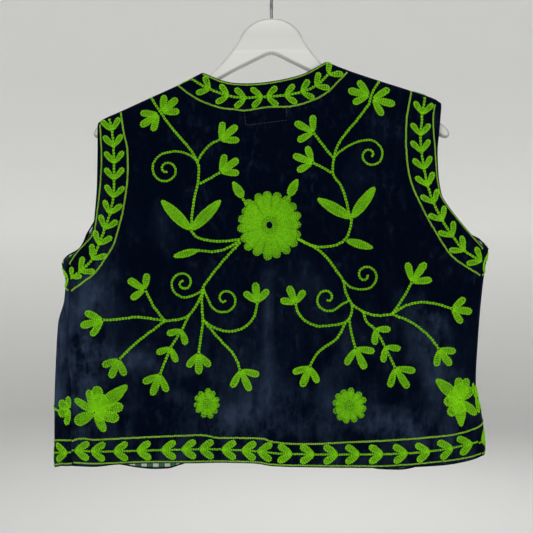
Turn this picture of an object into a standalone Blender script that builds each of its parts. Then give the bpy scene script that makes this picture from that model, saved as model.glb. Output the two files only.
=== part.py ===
# Embroidered velvet vest on a flat wooden hanger, with its back towards -Y.
# Metres, +Z up. The origin is the inner top of the hook, where a rail carries it.
# The tables and sizes below are in millimetres, and MM turns them into metres.
from math import asin, atan2, cos, exp, hypot, pi, radians, sin, sqrt

import bmesh
import bpy
import numpy

MM = 0.001

# Cloth
VELVET = 1.2
LINING = 1.0
LAYER_GAP = 0.35
SEAM_HALF_GAP = 0.17
FRONT_HALF_GAP = 1.0
LINING_SETBACK = 2.2

# Depth of the hanging vest, from its middle plane to the outside of one layer
RIDGE_HALF = 11.5
RIDGE_DROP = 10.0
NECK_RISE = 14.0
NECK_RISE_WIDTH = 12.0
FOLD_FADE = 60.0
BODY_HALF = 24.0
BODY_DROP = 170.0
SIDE_ROUND = 20.0
SIDE_ARC = 34.0

# Hanger and hook
HANGER_THICK = 11.0
HANGER_EDGE = 3.6
HOOK_WIRE = 4.0
HOOK_INNER = 38.0
HOOK_STEM = 68.0
HOOK_SEAT_GAP = 0.3
CROOK_STEPS = 18
CROOK_TIP = (-1.02, -0.55)

# Turn of the crook from +X, in degrees: where it starts and where it ends
CROOK_TURN = (-62, 196)

# Stem of the hook, from its foot up: distance from the middle x, height above the foot
STEM_ROUTE = ((0, 0), (0, 12), (0, 21), (1.2, 24.5))

# Share of the way up the side edge at which the seam ends and the armhole starts
UNDERARM = 0.583

# Side seams, from the hem up: height z, distance from the middle x
SEAM_LEFT = ((-607, 237), (-578, 239), (-512, 239), (-478, 243), (-404, 242), (-367, 243))
SEAM_RIGHT = ((-597, 251), (-563, 251), (-514, 245), (-478, 245), (-411, 249), (-348.6, 254))

# Folds where the fronts turn round the sides: height z, distance from the middle x
FOLD_LEFT = ((-614, 264), (-540, 264), (-480, 262), (-439, 259.5), (-410, 252), (-387, 250.5), (-367, 255.5))
FOLD_RIGHT = ((-597, 260), (-562, 257.5), (-509, 248.5), (-459, 251), (-405, 255.5), (-380, 258.5), (-348.6, 264))

# Armhole edges of the back, from the underarm up: height z, distance from the middle x
ARM_LEFT = (
    (-367, 243), (-359, 238), (-352, 233), (-344, 225.5), (-336, 218.5), (-327, 214),
    (-301, 211.5), (-269, 210), (-235, 210), (-195, 210.5),
)
ARM_RIGHT = (
    (-348.6, 254), (-340, 246), (-314, 224), (-298, 212), (-284, 204),
    (-258, 200.5), (-235, 200), (-204, 203), (-171, 206),
)

# Armhole edges of the fronts, which are cut deeper: height z, distance from the middle x
FRONT_ARM_LEFT = (
    (-367, 256), (-360, 251), (-350, 240), (-338, 231), (-322, 223.5),
    (-300, 214), (-262, 204), (-228, 203), (-195, 210.5),
)
FRONT_ARM_RIGHT = (
    (-348.6, 265), (-342, 260), (-328, 242), (-308, 222), (-286, 205),
    (-258, 196), (-228, 193), (-200, 198), (-171, 206),
)

# Shoulder seams, from neck to tip: distance from the middle x, height z
SHOULDER_LEFT = ((86, -135), (114, -149.5), (148, -165), (184, -181.5), (205, -191), (210.5, -195))
SHOULDER_RIGHT = ((68, -121.5), (95, -132), (131, -144), (172, -157), (198, -166), (206, -171))

# Neck edge of the back: place across x, height z
NECK_BACK = (
    (-86, -135), (-73, -140.5), (-59, -146), (-44, -149), (-29, -149.5), (-12, -148.5),
    (6, -146), (25, -142), (38, -138), (52, -131), (68, -121.5),
)

# Neck edges of the fronts, from the centre out to the shoulder: distance from the middle x, height z
NECK_FRONT_LEFT = ((1, -243), (14, -226), (32, -203), (52, -177), (68, -155), (79, -141.5), (86, -135))
NECK_FRONT_RIGHT = ((1, -243), (12, -226), (28, -200), (44, -171), (56, -146), (63, -130.5), (68, -121.5))

# Hem edges: place across x, height z
HEM_BACK = (
    (-237, -608), (-212, -609), (-184, -606.3), (-138, -604.8), (-99, -604.8), (-59, -604.2),
    (-20, -605), (2, -608.3), (34, -609.2), (123, -610.4), (166, -609.5), (204, -607.3), (230, -603), (251, -597),
)

# Hem edges of the fronts, on the cloth laid out: distance from the centre front w, height z
HEM_FRONT_LEFT = (
    (1, -611), (60, -612), (98, -613.5), (114, -618), (130, -622.5), (148, -623), (165, -621.5), (200, -616.5),
    (275, -615), (290, -612), (305, -608),
)
HEM_FRONT_RIGHT = (
    (1, -611), (60, -612), (110, -616.5), (132, -623), (160, -624), (185, -619.5),
    (240, -602), (268, -591.5), (290, -597),
)

# Soft folds of the cloth: place x and z, direction in degrees from +X, half length, half width, height
FOLDS_BACK = (
    (-175, -480, 62, 75, 20, 1.8),
    (-58, -548, 76, 62, 24, -1.6),
    (52, -520, 88, 85, 26, 1.7),
    (150, -450, 112, 80, 22, 1.6),
    (196, -560, 70, 45, 22, -1.5),
    (-212, -400, 30, 42, 16, -1.4),
    (208, -395, 148, 46, 17, -1.5),
    (-150, -250, 80, 60, 24, -1.3),
    (145, -240, 98, 60, 24, -1.3),
)
FOLDS_FRONT = (
    (-168, -500, 80, 85, 22, 1.9),
    (-92, -540, 94, 70, 24, -1.6),
    (-120, -330, 64, 80, 22, 1.5),
    (105, -525, 84, 90, 24, 1.8),
    (176, -470, 104, 70, 20, -1.6),
    (118, -330, 118, 75, 22, 1.4),
)

# Hanger, right half: distance from the middle x, height z of its top edge and of its underside
HANGER_TOP = (
    (0, -68), (12, -69.5), (24, -75), (34, -84.5), (40, -95.5), (47, -106),
    (58, -119.5), (75, -136), (108, -152.5), (155, -173), (200, -193),
)
HANGER_TIP = ((208.5, -197.5), (214.5, -203.5), (216.5, -210), (213, -213.5), (206, -212))
HANGER_UNDER = (
    (195, -206), (150, -186), (105, -164), (75, -149), (45, -132.5), (20, -120), (6, -113.2), (0, -111.8),
)

# Grid lines of the panels, as shares of the way up and of the way across
ROWS_BODY = 11
ROWS_ARM = (0.59, 0.6, 0.612, 0.63, 0.655, 0.69, 0.735, 0.785, 0.84, 0.89, 0.93, 0.962)
RIDGE_STEPS = 3
COLUMNS_SHOULDER = (0.07, 0.19, 0.36, 0.57, 0.79, 1.0)
COLUMNS_NECK = (0.03, 0.12, 0.25, 0.375, 0.5, 0.625, 0.75, 0.88, 0.97, 1.0)
COLUMNS_FRONT = (0.0, 0.022, 0.046, 0.072, 0.1, 0.13, 0.165, 0.21, 0.28, 0.36, 0.44, 0.52, 0.6)
COLUMNS_FRONT_NECK = (0.06, 0.3, 0.65, 1.0)
ARM_TURN = 0.12
LEVEL_REACH = 0.3
LEVEL_SPREAD = 0.07

# Raised flowers of the back: name, centre x and z, radius, share that a petal's tip stands out, petals, turn
FLOWERS = (
    ("flower_centre", -2.5, -321.0, 40.5, 0.16, 19, 0.0),
    ("rosette_left", -77.0, -533.5, 17.0, 0.28, 10, 17.0),
    ("rosette_right", 92.5, -536.0, 21.2, 0.28, 10, 9.0),
)
FLOWER_LIFT = 0.7
FLOWER_THICK = 1.1
FLOWER_RIM_LOSS = 0.45
FLOWER_RIM_POWER = 6
FLOWER_RINGS = (0.45, 0.8)
PETAL_CORNERS = 4
RING_REACH = 0.02


def remove_objects():
    for old in list(bpy.data.objects):
        bpy.data.objects.remove(old, do_unlink=True)


def table_slopes(table):
    """Slopes of a smooth curve through a table's points that never overshoots them."""
    steps = [(b[1] - a[1]) / (b[0] - a[0]) for a, b in zip(table, table[1:])]
    slopes = [steps[0]]
    for left, right in zip(steps, steps[1:]):
        if left * right <= 0:
            slopes.append(0.0)
        else:
            slopes.append(2 * left * right / (left + right))
    slopes.append(steps[-1])
    return slopes


def smooth_table(table):
    """A function that reads a table of increasing places as one smooth curve."""
    slopes = table_slopes(table)

    def read(place):
        place = min(max(place, table[0][0]), table[-1][0])
        index = 0
        while index < len(table) - 2 and place > table[index + 1][0]:
            index += 1
        (x0, y0), (x1, y1) = table[index], table[index + 1]
        width = x1 - x0
        t = (place - x0) / width
        start = y0 * (1 + 2 * t) * (1 - t) ** 2 + slopes[index] * width * t * (1 - t) ** 2
        end = y1 * t * t * (3 - 2 * t) + slopes[index + 1] * width * t * t * (t - 1)
        return start + end

    return read


def lerp(a, b, t):
    return a + (b - a) * t


def smooth_step(t):
    t = min(max(t, 0.0), 1.0)
    return t * t * (3 - 2 * t)


class Side:
    """One side of the vest, with distances from the middle counted as positive."""

    def __init__(self, sign, seam, fold, arm, front_arm, shoulder, neck_front, hem_front):
        self.sign = sign
        self.seam = smooth_table(seam)
        self.fold_low = smooth_table(fold)
        self.arm = smooth_table(arm)
        self.front_arm = smooth_table(front_arm)
        self.shoulder = smooth_table(shoulder)
        self.neck_front = smooth_table(neck_front)
        self.hem_front = smooth_table(hem_front)
        self.hem_z, self.hem_x = seam[0]
        self.underarm_z = arm[0][0]
        self.tip_z, self.tip_x = arm[-1]
        self.neck_x, self.neck_z = neck_front[-1]
        self.fold_gap = fold[-1][1] - arm[0][1]

    def edge_z(self, v):
        return lerp(self.hem_z, self.tip_z, v)

    def back_edge(self, z):
        if z < self.underarm_z:
            return self.seam(z)
        return self.arm(z)

    def fold(self, z):
        if z < self.underarm_z:
            return self.fold_low(z)
        return self.arm(z) + self.fold_gap


LEFT = Side(
    -1, SEAM_LEFT, FOLD_LEFT, ARM_LEFT, FRONT_ARM_LEFT,
    SHOULDER_LEFT, NECK_FRONT_LEFT, HEM_FRONT_LEFT,
)
RIGHT = Side(
    1, SEAM_RIGHT, FOLD_RIGHT, ARM_RIGHT, FRONT_ARM_RIGHT,
    SHOULDER_RIGHT, NECK_FRONT_RIGHT, HEM_FRONT_RIGHT,
)
NECK = smooth_table(NECK_BACK)
HEM = smooth_table(HEM_BACK)


def ridge(x):
    """Height of the line over which the cloth turns from back to front."""
    if x < -LEFT.neck_x:
        return LEFT.shoulder(-x)
    if x > RIGHT.neck_x:
        return RIGHT.shoulder(x)
    return lerp(LEFT.neck_z, RIGHT.neck_z, (x + LEFT.neck_x) / (RIGHT.neck_x + LEFT.neck_x))


def half_depth(x, z):
    """Distance of the outside from the middle plane, before folds and rounded sides."""
    drop = max(ridge(x) - z, 0.001)
    inside_neck = min(x + LEFT.neck_x, RIGHT.neck_x - x)
    turn_drop = drop + NECK_RISE * smooth_step(inside_neck / NECK_RISE_WIDTH)
    over = 1 - min(turn_drop / RIDGE_DROP, 1.0)
    return RIDGE_HALF * sqrt(1 - over * over) + (BODY_HALF - RIDGE_HALF) * smooth_step(drop / BODY_DROP)


def soft_folds(table, x, z):
    """Height of the soft troughs and ridges of the cloth at a point, none at the shoulders."""
    total = 0.0
    for place_x, place_z, turn, half_length, half_width, height in table:
        along = (x - place_x) * cos(radians(turn)) + (z - place_z) * sin(radians(turn))
        across = (z - place_z) * cos(radians(turn)) - (x - place_x) * sin(radians(turn))
        total += height * exp(-(along / half_length) ** 2 - (across / half_width) ** 2)
    return total * smooth_step((ridge(x) - z) / FOLD_FADE)


def side_turn(side, w, z):
    """How far the cloth has turned towards the back at w along it from the centre front."""
    return max(w - side.fold(z) + SIDE_ROUND, 0.0) / SIDE_ARC * pi / 2


def front_x(side, w, z):
    """Distance from the middle of a front point at w along the cloth."""
    middle = side.fold(z) - SIDE_ROUND
    return min(w, middle) + SIDE_ROUND * sin(side_turn(side, w, z))


def around(side, w, z):
    """Outside point of a front at w along the cloth from the centre front, round the fold to the back."""
    turn = side_turn(side, w, z)
    x = side.sign * front_x(side, w, z)
    table = FOLDS_FRONT if turn < pi / 2 else FOLDS_BACK
    depth = half_depth(x, z) + soft_folds(table, x, z) * abs(cos(turn))
    return numpy.array((x, depth * cos(turn), z))


def seam_w(side, z):
    """Place of the side seam along the cloth of a front."""
    middle = side.fold(z) - SIDE_ROUND
    return middle + SIDE_ARC * (2 - asin((side.back_edge(z) - middle) / SIDE_ROUND) / (pi / 2))


def front_w(side, x, z):
    """Place along the cloth of a front point at distance x from the middle."""
    middle = side.fold(z) - SIDE_ROUND
    if x <= middle:
        return x
    return middle + SIDE_ARC * asin(min((x - middle) / SIDE_ROUND, 1.0)) / (pi / 2)


def back_point(x, z):
    """Outside point of the back panel."""
    side = LEFT if x < 0 else RIGHT
    middle = side.fold(z) - SIDE_ROUND
    rounded = max(abs(x) - middle, 0.0) / SIDE_ROUND
    share = sqrt(1 - min(rounded, 0.999) ** 2)
    return numpy.array((x, -share * (half_depth(x, z) + soft_folds(FOLDS_BACK, x, z) * share), z))


def back_at(u, v):
    """Outside point of the back panel at shares of the way across and up."""
    left = -LEFT.back_edge(LEFT.edge_z(v)) + SEAM_HALF_GAP
    right = RIGHT.back_edge(RIGHT.edge_z(v)) - SEAM_HALF_GAP
    top_x = lerp(SEAM_HALF_GAP - LEFT.tip_x, RIGHT.tip_x - SEAM_HALF_GAP, u)
    if -LEFT.neck_x < top_x < RIGHT.neck_x:
        top = NECK(top_x)
    else:
        top = ridge(top_x)
    low = HEM(lerp(-LEFT.hem_x, RIGHT.hem_x, u))
    return back_point(lerp(left, right, u), lerp(low, top, v))


def front_edge_w(side, v):
    """Place along the cloth of a front's outer edge, at its side seam or its armhole."""
    z = side.edge_z(v)
    seam = seam_w(side, z) - SEAM_HALF_GAP
    if v <= UNDERARM:
        return seam
    share = (v - UNDERARM) / (1 - UNDERARM)
    turned = sin(pi / 2 * min(share / ARM_TURN, 1))
    return lerp(seam, front_w(side, side.front_arm(z), z), turned)


def front_at(side, u, v):
    """Outside point of a front at shares of the way in from its outer edge and up."""
    w = lerp(front_edge_w(side, v), FRONT_HALF_GAP, u)
    top_x = front_x(side, lerp(front_edge_w(side, 1.0), FRONT_HALF_GAP, u), side.tip_z)
    if top_x < side.neck_x:
        top = side.neck_front(top_x)
    else:
        top = side.shoulder(top_x)
    low = side.hem_front(lerp(seam_w(side, side.hem_z), FRONT_HALF_GAP, u))
    level = smooth_step(1 - u / LEVEL_REACH) * exp(-((v - UNDERARM) / LEVEL_SPREAD) ** 2)
    return around(side, w, lerp(lerp(low, top, v), side.edge_z(v), level))


def rows():
    """Shares of the way up at which the panels have their grid lines."""
    shares = [UNDERARM * i / ROWS_BODY for i in range(ROWS_BODY + 1)]
    shares += ROWS_ARM
    height = RIGHT.tip_z - RIGHT.hem_z
    for step in range(RIDGE_STEPS, -1, -1):
        shares.append(1 - RIDGE_DROP * (1 - cos(pi / 2 * step / RIDGE_STEPS)) / height)
    return shares


def back_columns():
    """Shares of the way across the back, with a line at each end of the neck."""
    start = SEAM_HALF_GAP - LEFT.tip_x
    width = RIGHT.tip_x - SEAM_HALF_GAP - start
    stops = (0.0, (-LEFT.neck_x - start) / width, (RIGHT.neck_x - start) / width, 1.0)
    towards_edge = [1 - step for step in reversed(COLUMNS_SHOULDER[:-1])] + [1.0]
    shares = [0.0]
    for start, end, steps in zip(stops, stops[1:], (COLUMNS_SHOULDER, COLUMNS_NECK, towards_edge)):
        shares += [lerp(start, end, step) for step in steps]
    return shares


def front_columns(side):
    """Shares of the way in from the outer edge of a front, with a line at the neck point."""
    edge = front_edge_w(side, 1.0)
    neck = (edge - side.neck_x) / (edge - FRONT_HALF_GAP)
    last = COLUMNS_FRONT[-1]
    shares = [share * neck / last for share in COLUMNS_FRONT]
    shares += [lerp(neck, 1.0, step) for step in COLUMNS_FRONT_NECK]
    return shares


def sheet(point_at, shares_u, shares_v, outward):
    """Points and outward normals of a panel's grid, by row and column."""
    tiny = 1e-5
    points = numpy.array([[point_at(u, v) for v in shares_v] for u in shares_u])
    normals = numpy.empty_like(points)
    for i, u in enumerate(shares_u):
        for j, v in enumerate(shares_v):
            along = point_at(min(u + tiny, 1), v) - point_at(max(u - tiny, 0), v)
            up = point_at(u, min(v + tiny, 1)) - point_at(u, max(v - tiny, 0))
            normal = numpy.cross(along, up)
            normal /= numpy.linalg.norm(normal)
            normals[i, j] = normal * (1 if normal @ outward(points[i, j]) > 0 else -1)
    return points, normals


def set_back(points, normals, free_edge):
    """The same grid with its free edges drawn in towards the next grid line."""
    count_u, count_v = points.shape[:2]
    new_points, new_normals = points.copy(), normals.copy()
    for i in range(count_u):
        for j in range(count_v):
            for inner in free_edge(i, j, count_u, count_v):
                step = points[inner] - points[i, j]
                share = min(LINING_SETBACK / numpy.linalg.norm(step), 0.9)
                new_points[i, j] += step * share
                new_normals[i, j] += (normals[inner] - normals[i, j]) * share
    lengths = numpy.linalg.norm(new_normals, axis=2, keepdims=True)
    return new_points, new_normals / lengths


def wall(base, points, normals, outer, inner):
    """A closed wall between two depths under a grid of points, with faces split as on the base grid."""
    count_u, count_v = points.shape[:2]
    mesh = bmesh.new()
    bmesh.ops.create_grid(mesh, x_segments=count_u - 1, y_segments=count_v - 1, size=0.5)
    places = {}
    for vert in mesh.verts:
        place = (round((vert.co.x + 0.5) * (count_u - 1)), round((vert.co.y + 0.5) * (count_v - 1)))
        places[vert] = place
        vert.co = base[place] * MM
    bmesh.ops.triangulate(mesh, faces=mesh.faces[:], quad_method="SHORT_EDGE")
    place_at = {tuple(vert.co): places[vert] for vert in mesh.verts}
    made = bmesh.ops.extrude_face_region(mesh, geom=mesh.faces[:])
    inside = {item for item in made["geom"] if isinstance(item, bmesh.types.BMVert)}
    for vert in mesh.verts:
        place = place_at[tuple(vert.co)]
        depth = inner if vert in inside else outer
        vert.co = (points[place] - normals[place] * depth) * MM
    bmesh.ops.recalc_face_normals(mesh, faces=mesh.faces[:])
    return mesh


def principled(name, colour, roughness, metallic=0.0):
    material = bpy.data.materials.new(name)
    material.use_nodes = True
    shader = material.node_tree.nodes["Principled BSDF"]
    shader.inputs["Base Color"].default_value = (*colour, 1.0)
    shader.inputs["Roughness"].default_value = roughness
    shader.inputs["Metallic"].default_value = metallic
    material.diffuse_color = (*colour, 1.0)
    return material


def add_object(name, data, collection, material):
    made = bpy.data.objects.new(name, data)
    made.data.materials.append(material)
    collection.objects.link(made)
    return made


def add_mesh(name, built, collection, material, sharp_degrees=50):
    data = bpy.data.meshes.new(name)
    built.to_mesh(data)
    built.free()
    made = add_object(name, data, collection, material)
    data.shade_smooth()
    data.set_sharp_from_angle(angle=radians(sharp_degrees))
    return made


def back_free_edge(i, j, count_u, count_v):
    """Next grid points inwards of a back point that lies on the hem, an armhole or the neck."""
    if j == 0:
        yield i, 1
    if i == 0 and j > ROWS_BODY:
        yield 1, j
    if i == count_u - 1 and j > ROWS_BODY:
        yield count_u - 2, j
    neck_start = len(COLUMNS_SHOULDER)
    if j == count_v - 1 and neck_start < i < neck_start + len(COLUMNS_NECK):
        yield i, count_v - 2


def front_free_edge(i, j, count_u, count_v):
    """Next grid points inwards of a front point that lies on the hem, armhole, neck or centre."""
    if j == 0:
        yield i, 1
    if i == 0 and j > ROWS_BODY:
        yield 1, j
    if i == count_u - 1:
        yield count_u - 2, j
    if j == count_v - 1 and i > len(COLUMNS_FRONT) - 1:
        yield i, count_v - 2


def build_panel(names, point_at, columns, outward, free_edge, collection, materials):
    """A velvet panel and the lining just inside it, from the same grid."""
    base, normals = sheet(point_at, columns, rows(), outward)
    add_mesh(names[0], wall(base, base, normals, 0.0, VELVET), collection, materials[0])
    points, normals = set_back(base, normals, free_edge)
    under = VELVET + LAYER_GAP
    add_mesh(names[1], wall(base, points, normals, under, under + LINING), collection, materials[1])


def build_panels(collection):
    velvet = principled("navy_velvet", (0.006, 0.010, 0.028), 0.62)
    check = principled("checked_lining", (0.045, 0.085, 0.055), 0.75)

    def back_outward(_point):
        return numpy.array((0, -1, 0.5))

    build_panel(
        ("back_panel", "lining_back"), back_at, back_columns(), back_outward,
        back_free_edge, collection, (velvet, check),
    )
    for side, label in ((LEFT, "left"), (RIGHT, "right")):

        def front_outward(point, side=side):
            middle = side.fold(point[2]) - SIDE_ROUND
            beyond = side.sign * max(abs(point[0]) - middle, 0.0)
            return numpy.array((beyond, point[1], 0.5))

        def point_at(u, v, side=side):
            return front_at(side, u, v)

        build_panel(
            ("front_" + label, "lining_front_" + label), point_at, front_columns(side), front_outward,
            front_free_edge, collection, (velvet, check),
        )


def petal_radius(turn, radius, stand_out, petals):
    """Radius of a flower's edge, with one round bump for each petal."""
    return radius * (1 - stand_out + stand_out * sqrt(abs(cos(petals * turn / 2))))


def build_flower(collection, material, name, x, z, radius, stand_out, petals, turned):
    """A raised flower whose back follows the panel just below it."""
    corners = petals * PETAL_CORNERS
    mesh = bmesh.new()
    bmesh.ops.create_circle(mesh, cap_ends=True, cap_tris=True, segments=corners, radius=1.0)
    for share in FLOWER_RINGS:
        cut_ring(mesh, share)
    made = bmesh.ops.extrude_face_region(mesh, geom=mesh.faces[:])
    inside = {item for item in made["geom"] if isinstance(item, bmesh.types.BMVert)}
    for vert in mesh.verts:
        share = hypot(vert.co.x, vert.co.y)
        turn = atan2(vert.co.y, vert.co.x)
        reach = share * petal_radius(turn, radius, stand_out * share, petals)
        place_x = x + reach * cos(turn + radians(turned))
        place_z = z + reach * sin(turn + radians(turned))
        thick = 0.0 if vert in inside else FLOWER_THICK * (1 - FLOWER_RIM_LOSS * share ** FLOWER_RIM_POWER)
        vert.co = (back_point(place_x, place_z) - numpy.array((0, FLOWER_LIFT + thick, 0))) * MM
    bmesh.ops.recalc_face_normals(mesh, faces=mesh.faces[:])
    add_mesh(name, mesh, collection, material)


def cut_ring(mesh, share):
    """Cuts each spoke of a fan of triangles at a share of its length, which makes one more ring."""
    centre = min(mesh.verts, key=lambda vert: vert.co.length)
    spokes = [edge for edge in mesh.edges if centre in edge.verts]
    for edge in spokes:
        outer_length = edge.other_vert(centre).co.length
        if outer_length > share:
            bmesh.utils.edge_split(edge, centre, share / outer_length)
    ring = [vert for vert in mesh.verts if abs(vert.co.length - share) < RING_REACH]
    bmesh.ops.connect_verts(mesh, verts=ring)


def build_hanger(collection):
    """The flat wooden hanger, cut from board with all its edges rounded."""
    half = HANGER_TOP + HANGER_TIP + HANGER_UNDER
    outline = list(half) + [(-x, z) for x, z in reversed(half[1:-1])]
    data = bpy.data.curves.new("hanger", "CURVE")
    data.dimensions = "2D"
    data.fill_mode = "BOTH"
    data.extrude = (HANGER_THICK / 2 - HANGER_EDGE) * MM
    data.bevel_depth = HANGER_EDGE * MM
    data.bevel_resolution = 2
    data.offset = -HANGER_EDGE * MM
    spline = data.splines.new("POLY")
    spline.points.add(len(outline) - 1)
    spline.use_cyclic_u = True
    for point, (x, z) in zip(spline.points, outline):
        point.co = (x * MM, z * MM, 0, 1)
    made = add_object("hanger", data, collection, principled("white_painted_wood", (0.80, 0.80, 0.78), 0.45))
    made.rotation_euler = (radians(90), 0, 0)


def hook_route():
    """Centre line of the hook: a straight stem, a bend and a round crook with a turned-out end."""
    radius = (HOOK_INNER + HOOK_WIRE) / 2
    middle_z = HOOK_WIRE / 2 - radius
    foot_z = HOOK_SEAT_GAP - HOOK_STEM
    route = [(x, foot_z + height) for x, height in STEM_ROUTE]
    for step in range(CROOK_STEPS + 1):
        turn = radians(lerp(*CROOK_TURN, step / CROOK_STEPS))
        route.append((radius * cos(turn), middle_z + radius * sin(turn)))
    tip_x, tip_z = CROOK_TIP
    route.append((radius * tip_x, middle_z + radius * tip_z))
    return route


def build_hook(collection):
    """The steel wire hook, its stem seated on the top of the hanger."""
    data = bpy.data.curves.new("hook", "CURVE")
    data.dimensions = "3D"
    data.bevel_depth = HOOK_WIRE / 2 * MM
    data.bevel_resolution = 2
    data.use_fill_caps = True
    route = hook_route()
    spline = data.splines.new("POLY")
    spline.points.add(len(route) - 1)
    for point, (x, z) in zip(spline.points, route):
        point.co = (x * MM, 0, z * MM, 1)
    add_object("hook", data, collection, principled("hook_steel", (0.25, 0.25, 0.27), 0.35, 1.0))


def main():
    remove_objects()
    collection = bpy.data.collections.new("embroidered_vest")
    bpy.context.scene.collection.children.link(collection)
    build_panels(collection)
    thread = principled("green_thread", (0.10, 0.36, 0.02), 0.55)
    for flower in FLOWERS:
        build_flower(collection, thread, *flower)
    build_hanger(collection)
    build_hook(collection)


main()
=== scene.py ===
# Looks of the embroidered vest on a hanger: velvet, checked lining, chain-stitch embroidery, hanger and hook.
# Tables and sizes are in millimetres in the part's own frame, and MM turns them into metres.
from math import pi, radians

import bmesh
import bpy
import numpy as np
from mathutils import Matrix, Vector


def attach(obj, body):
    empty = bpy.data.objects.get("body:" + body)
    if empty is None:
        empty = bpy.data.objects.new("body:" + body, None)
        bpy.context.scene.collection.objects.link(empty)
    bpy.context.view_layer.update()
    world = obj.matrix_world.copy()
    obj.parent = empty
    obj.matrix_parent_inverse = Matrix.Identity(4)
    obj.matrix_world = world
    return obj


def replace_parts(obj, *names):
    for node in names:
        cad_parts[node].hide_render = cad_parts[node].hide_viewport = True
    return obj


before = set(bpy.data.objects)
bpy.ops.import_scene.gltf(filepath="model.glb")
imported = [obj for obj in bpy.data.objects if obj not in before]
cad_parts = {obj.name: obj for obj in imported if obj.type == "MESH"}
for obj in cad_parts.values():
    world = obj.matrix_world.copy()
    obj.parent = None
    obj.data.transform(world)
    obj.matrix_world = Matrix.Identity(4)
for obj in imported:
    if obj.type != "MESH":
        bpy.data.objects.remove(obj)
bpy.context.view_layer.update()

MM = 0.001
TINY = 1e-9

# Steps in which a surface's direction is read, as a share of a grid and as a distance on the cloth,
# slope of the outward side, and angle in degrees from which an edge is sharp
SHARE_STEP = 1e-5
PLACE_STEP = 0.2
OUTWARD_LIFT = 0.4
SHARP_ANGLE = 50

# Camera of the photograph: square frame, level view of the back
PHOTO_SIZE = 533
CAMERA_DISTANCE = 1000.0
CAMERA_X = -6.1
CAMERA_Z = -370.3
PIXEL = 1.22
SENSOR = 36.0

# Cloth, with the same sizes as the solids
VELVET = 1.2
LINING = 1.0
LAYER_GAP = 0.35
SEAM_HALF_GAP = 0.17
FRONT_HALF_GAP = 1.0
LINING_SETBACK = 2.2
MOST_SETBACK = 0.9
RIDGE_HALF = 11.5
RIDGE_DROP = 10.0
NECK_RISE = 14.0
NECK_RISE_WIDTH = 12.0
FOLD_FADE = 60.0
BODY_HALF = 24.0
BODY_DROP = 170.0
SIDE_ROUND = 20.0
SIDE_ARC = 34.0
UNDERARM = 0.583
ARM_TURN = 0.12
LEVEL_REACH = 0.3
LEVEL_SPREAD = 0.07

# Grid of a panel: shares where close rows above the underarm and close columns at seam and fold end
CLOSE_ROWS = 0.64
CLOSE_SEAM = 0.06
CLOSE_FOLD = 0.25
RIDGE_ROWS = 9

# Hanger and hook
HANGER_THICK = 11.0
HANGER_EDGE = 3.6
HOOK_WIRE = 4.0
HOOK_INNER = 38.0
HOOK_STEM = 68.0
HOOK_SEAT_GAP = 0.3

# Side seams, from the hem up: height z, distance from the middle x
SEAM_LEFT = ((-607, 237), (-578, 239), (-512, 239), (-478, 243), (-404, 242), (-367, 243))
SEAM_RIGHT = ((-597, 251), (-563, 251), (-514, 245), (-478, 245), (-411, 249), (-348.6, 254))

# Folds where the fronts turn round the sides: height z, distance from the middle x
FOLD_LEFT = ((-614, 264), (-540, 264), (-480, 262), (-439, 259.5), (-410, 252), (-387, 250.5), (-367, 255.5))
FOLD_RIGHT = (
    (-597, 260), (-562, 257.5), (-509, 248.5), (-459, 251), (-405, 255.5), (-380, 258.5), (-348.6, 264),
)

# Armhole edges of the back, from the underarm up: height z, distance from the middle x
ARM_LEFT = (
    (-367, 243), (-359, 238), (-352, 233), (-344, 225.5), (-336, 218.5), (-327, 214),
    (-301, 211.5), (-269, 210), (-235, 210), (-195, 210.5),
)
ARM_RIGHT = (
    (-348.6, 254), (-340, 246), (-314, 224), (-298, 212), (-284, 204),
    (-258, 200.5), (-235, 200), (-204, 203), (-171, 206),
)

# Armhole edges of the fronts, which are cut deeper: height z, distance from the middle x
FRONT_ARM_LEFT = (
    (-367, 256), (-360, 251), (-350, 240), (-338, 231), (-322, 223.5),
    (-300, 214), (-262, 204), (-228, 203), (-195, 210.5),
)
FRONT_ARM_RIGHT = (
    (-348.6, 265), (-342, 260), (-328, 242), (-308, 222), (-286, 205),
    (-258, 196), (-228, 193), (-200, 198), (-171, 206),
)

# Shoulder seams, from neck to tip: distance from the middle x, height z
SHOULDER_LEFT = ((86, -135), (114, -149.5), (148, -165), (184, -181.5), (205, -191), (210.5, -195))
SHOULDER_RIGHT = ((68, -121.5), (95, -132), (131, -144), (172, -157), (198, -166), (206, -171))

# Neck edge of the back: place across x, height z
NECK_BACK = (
    (-86, -135), (-73, -140.5), (-59, -146), (-44, -149), (-29, -149.5), (-12, -148.5),
    (6, -146), (25, -142), (38, -138), (52, -131), (68, -121.5),
)

# Neck edges of the fronts, from the centre out to the shoulder: distance from the middle x, height z
NECK_FRONT_LEFT = ((1, -243), (14, -226), (32, -203), (52, -177), (68, -155), (79, -141.5), (86, -135))
NECK_FRONT_RIGHT = ((1, -243), (12, -226), (28, -200), (44, -171), (56, -146), (63, -130.5), (68, -121.5))

# Hem edges: place across x, height z
HEM_BACK = (
    (-237, -608), (-212, -609), (-184, -606.3), (-138, -604.8), (-99, -604.8), (-59, -604.2),
    (-20, -605), (2, -608.3), (34, -609.2), (123, -610.4), (166, -609.5), (204, -607.3),
    (230, -603), (251, -597),
)

# Hem edges of the fronts, on the cloth laid out: distance from the centre front w, height z
HEM_FRONT_LEFT = (
    (1, -611), (60, -612), (98, -613.5), (114, -618), (130, -622.5), (148, -623), (165, -621.5),
    (200, -616.5), (275, -615), (290, -612), (305, -608),
)
HEM_FRONT_RIGHT = (
    (1, -611), (60, -612), (110, -616.5), (132, -623), (160, -624), (185, -619.5),
    (240, -602), (268, -591.5), (290, -597),
)

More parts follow.
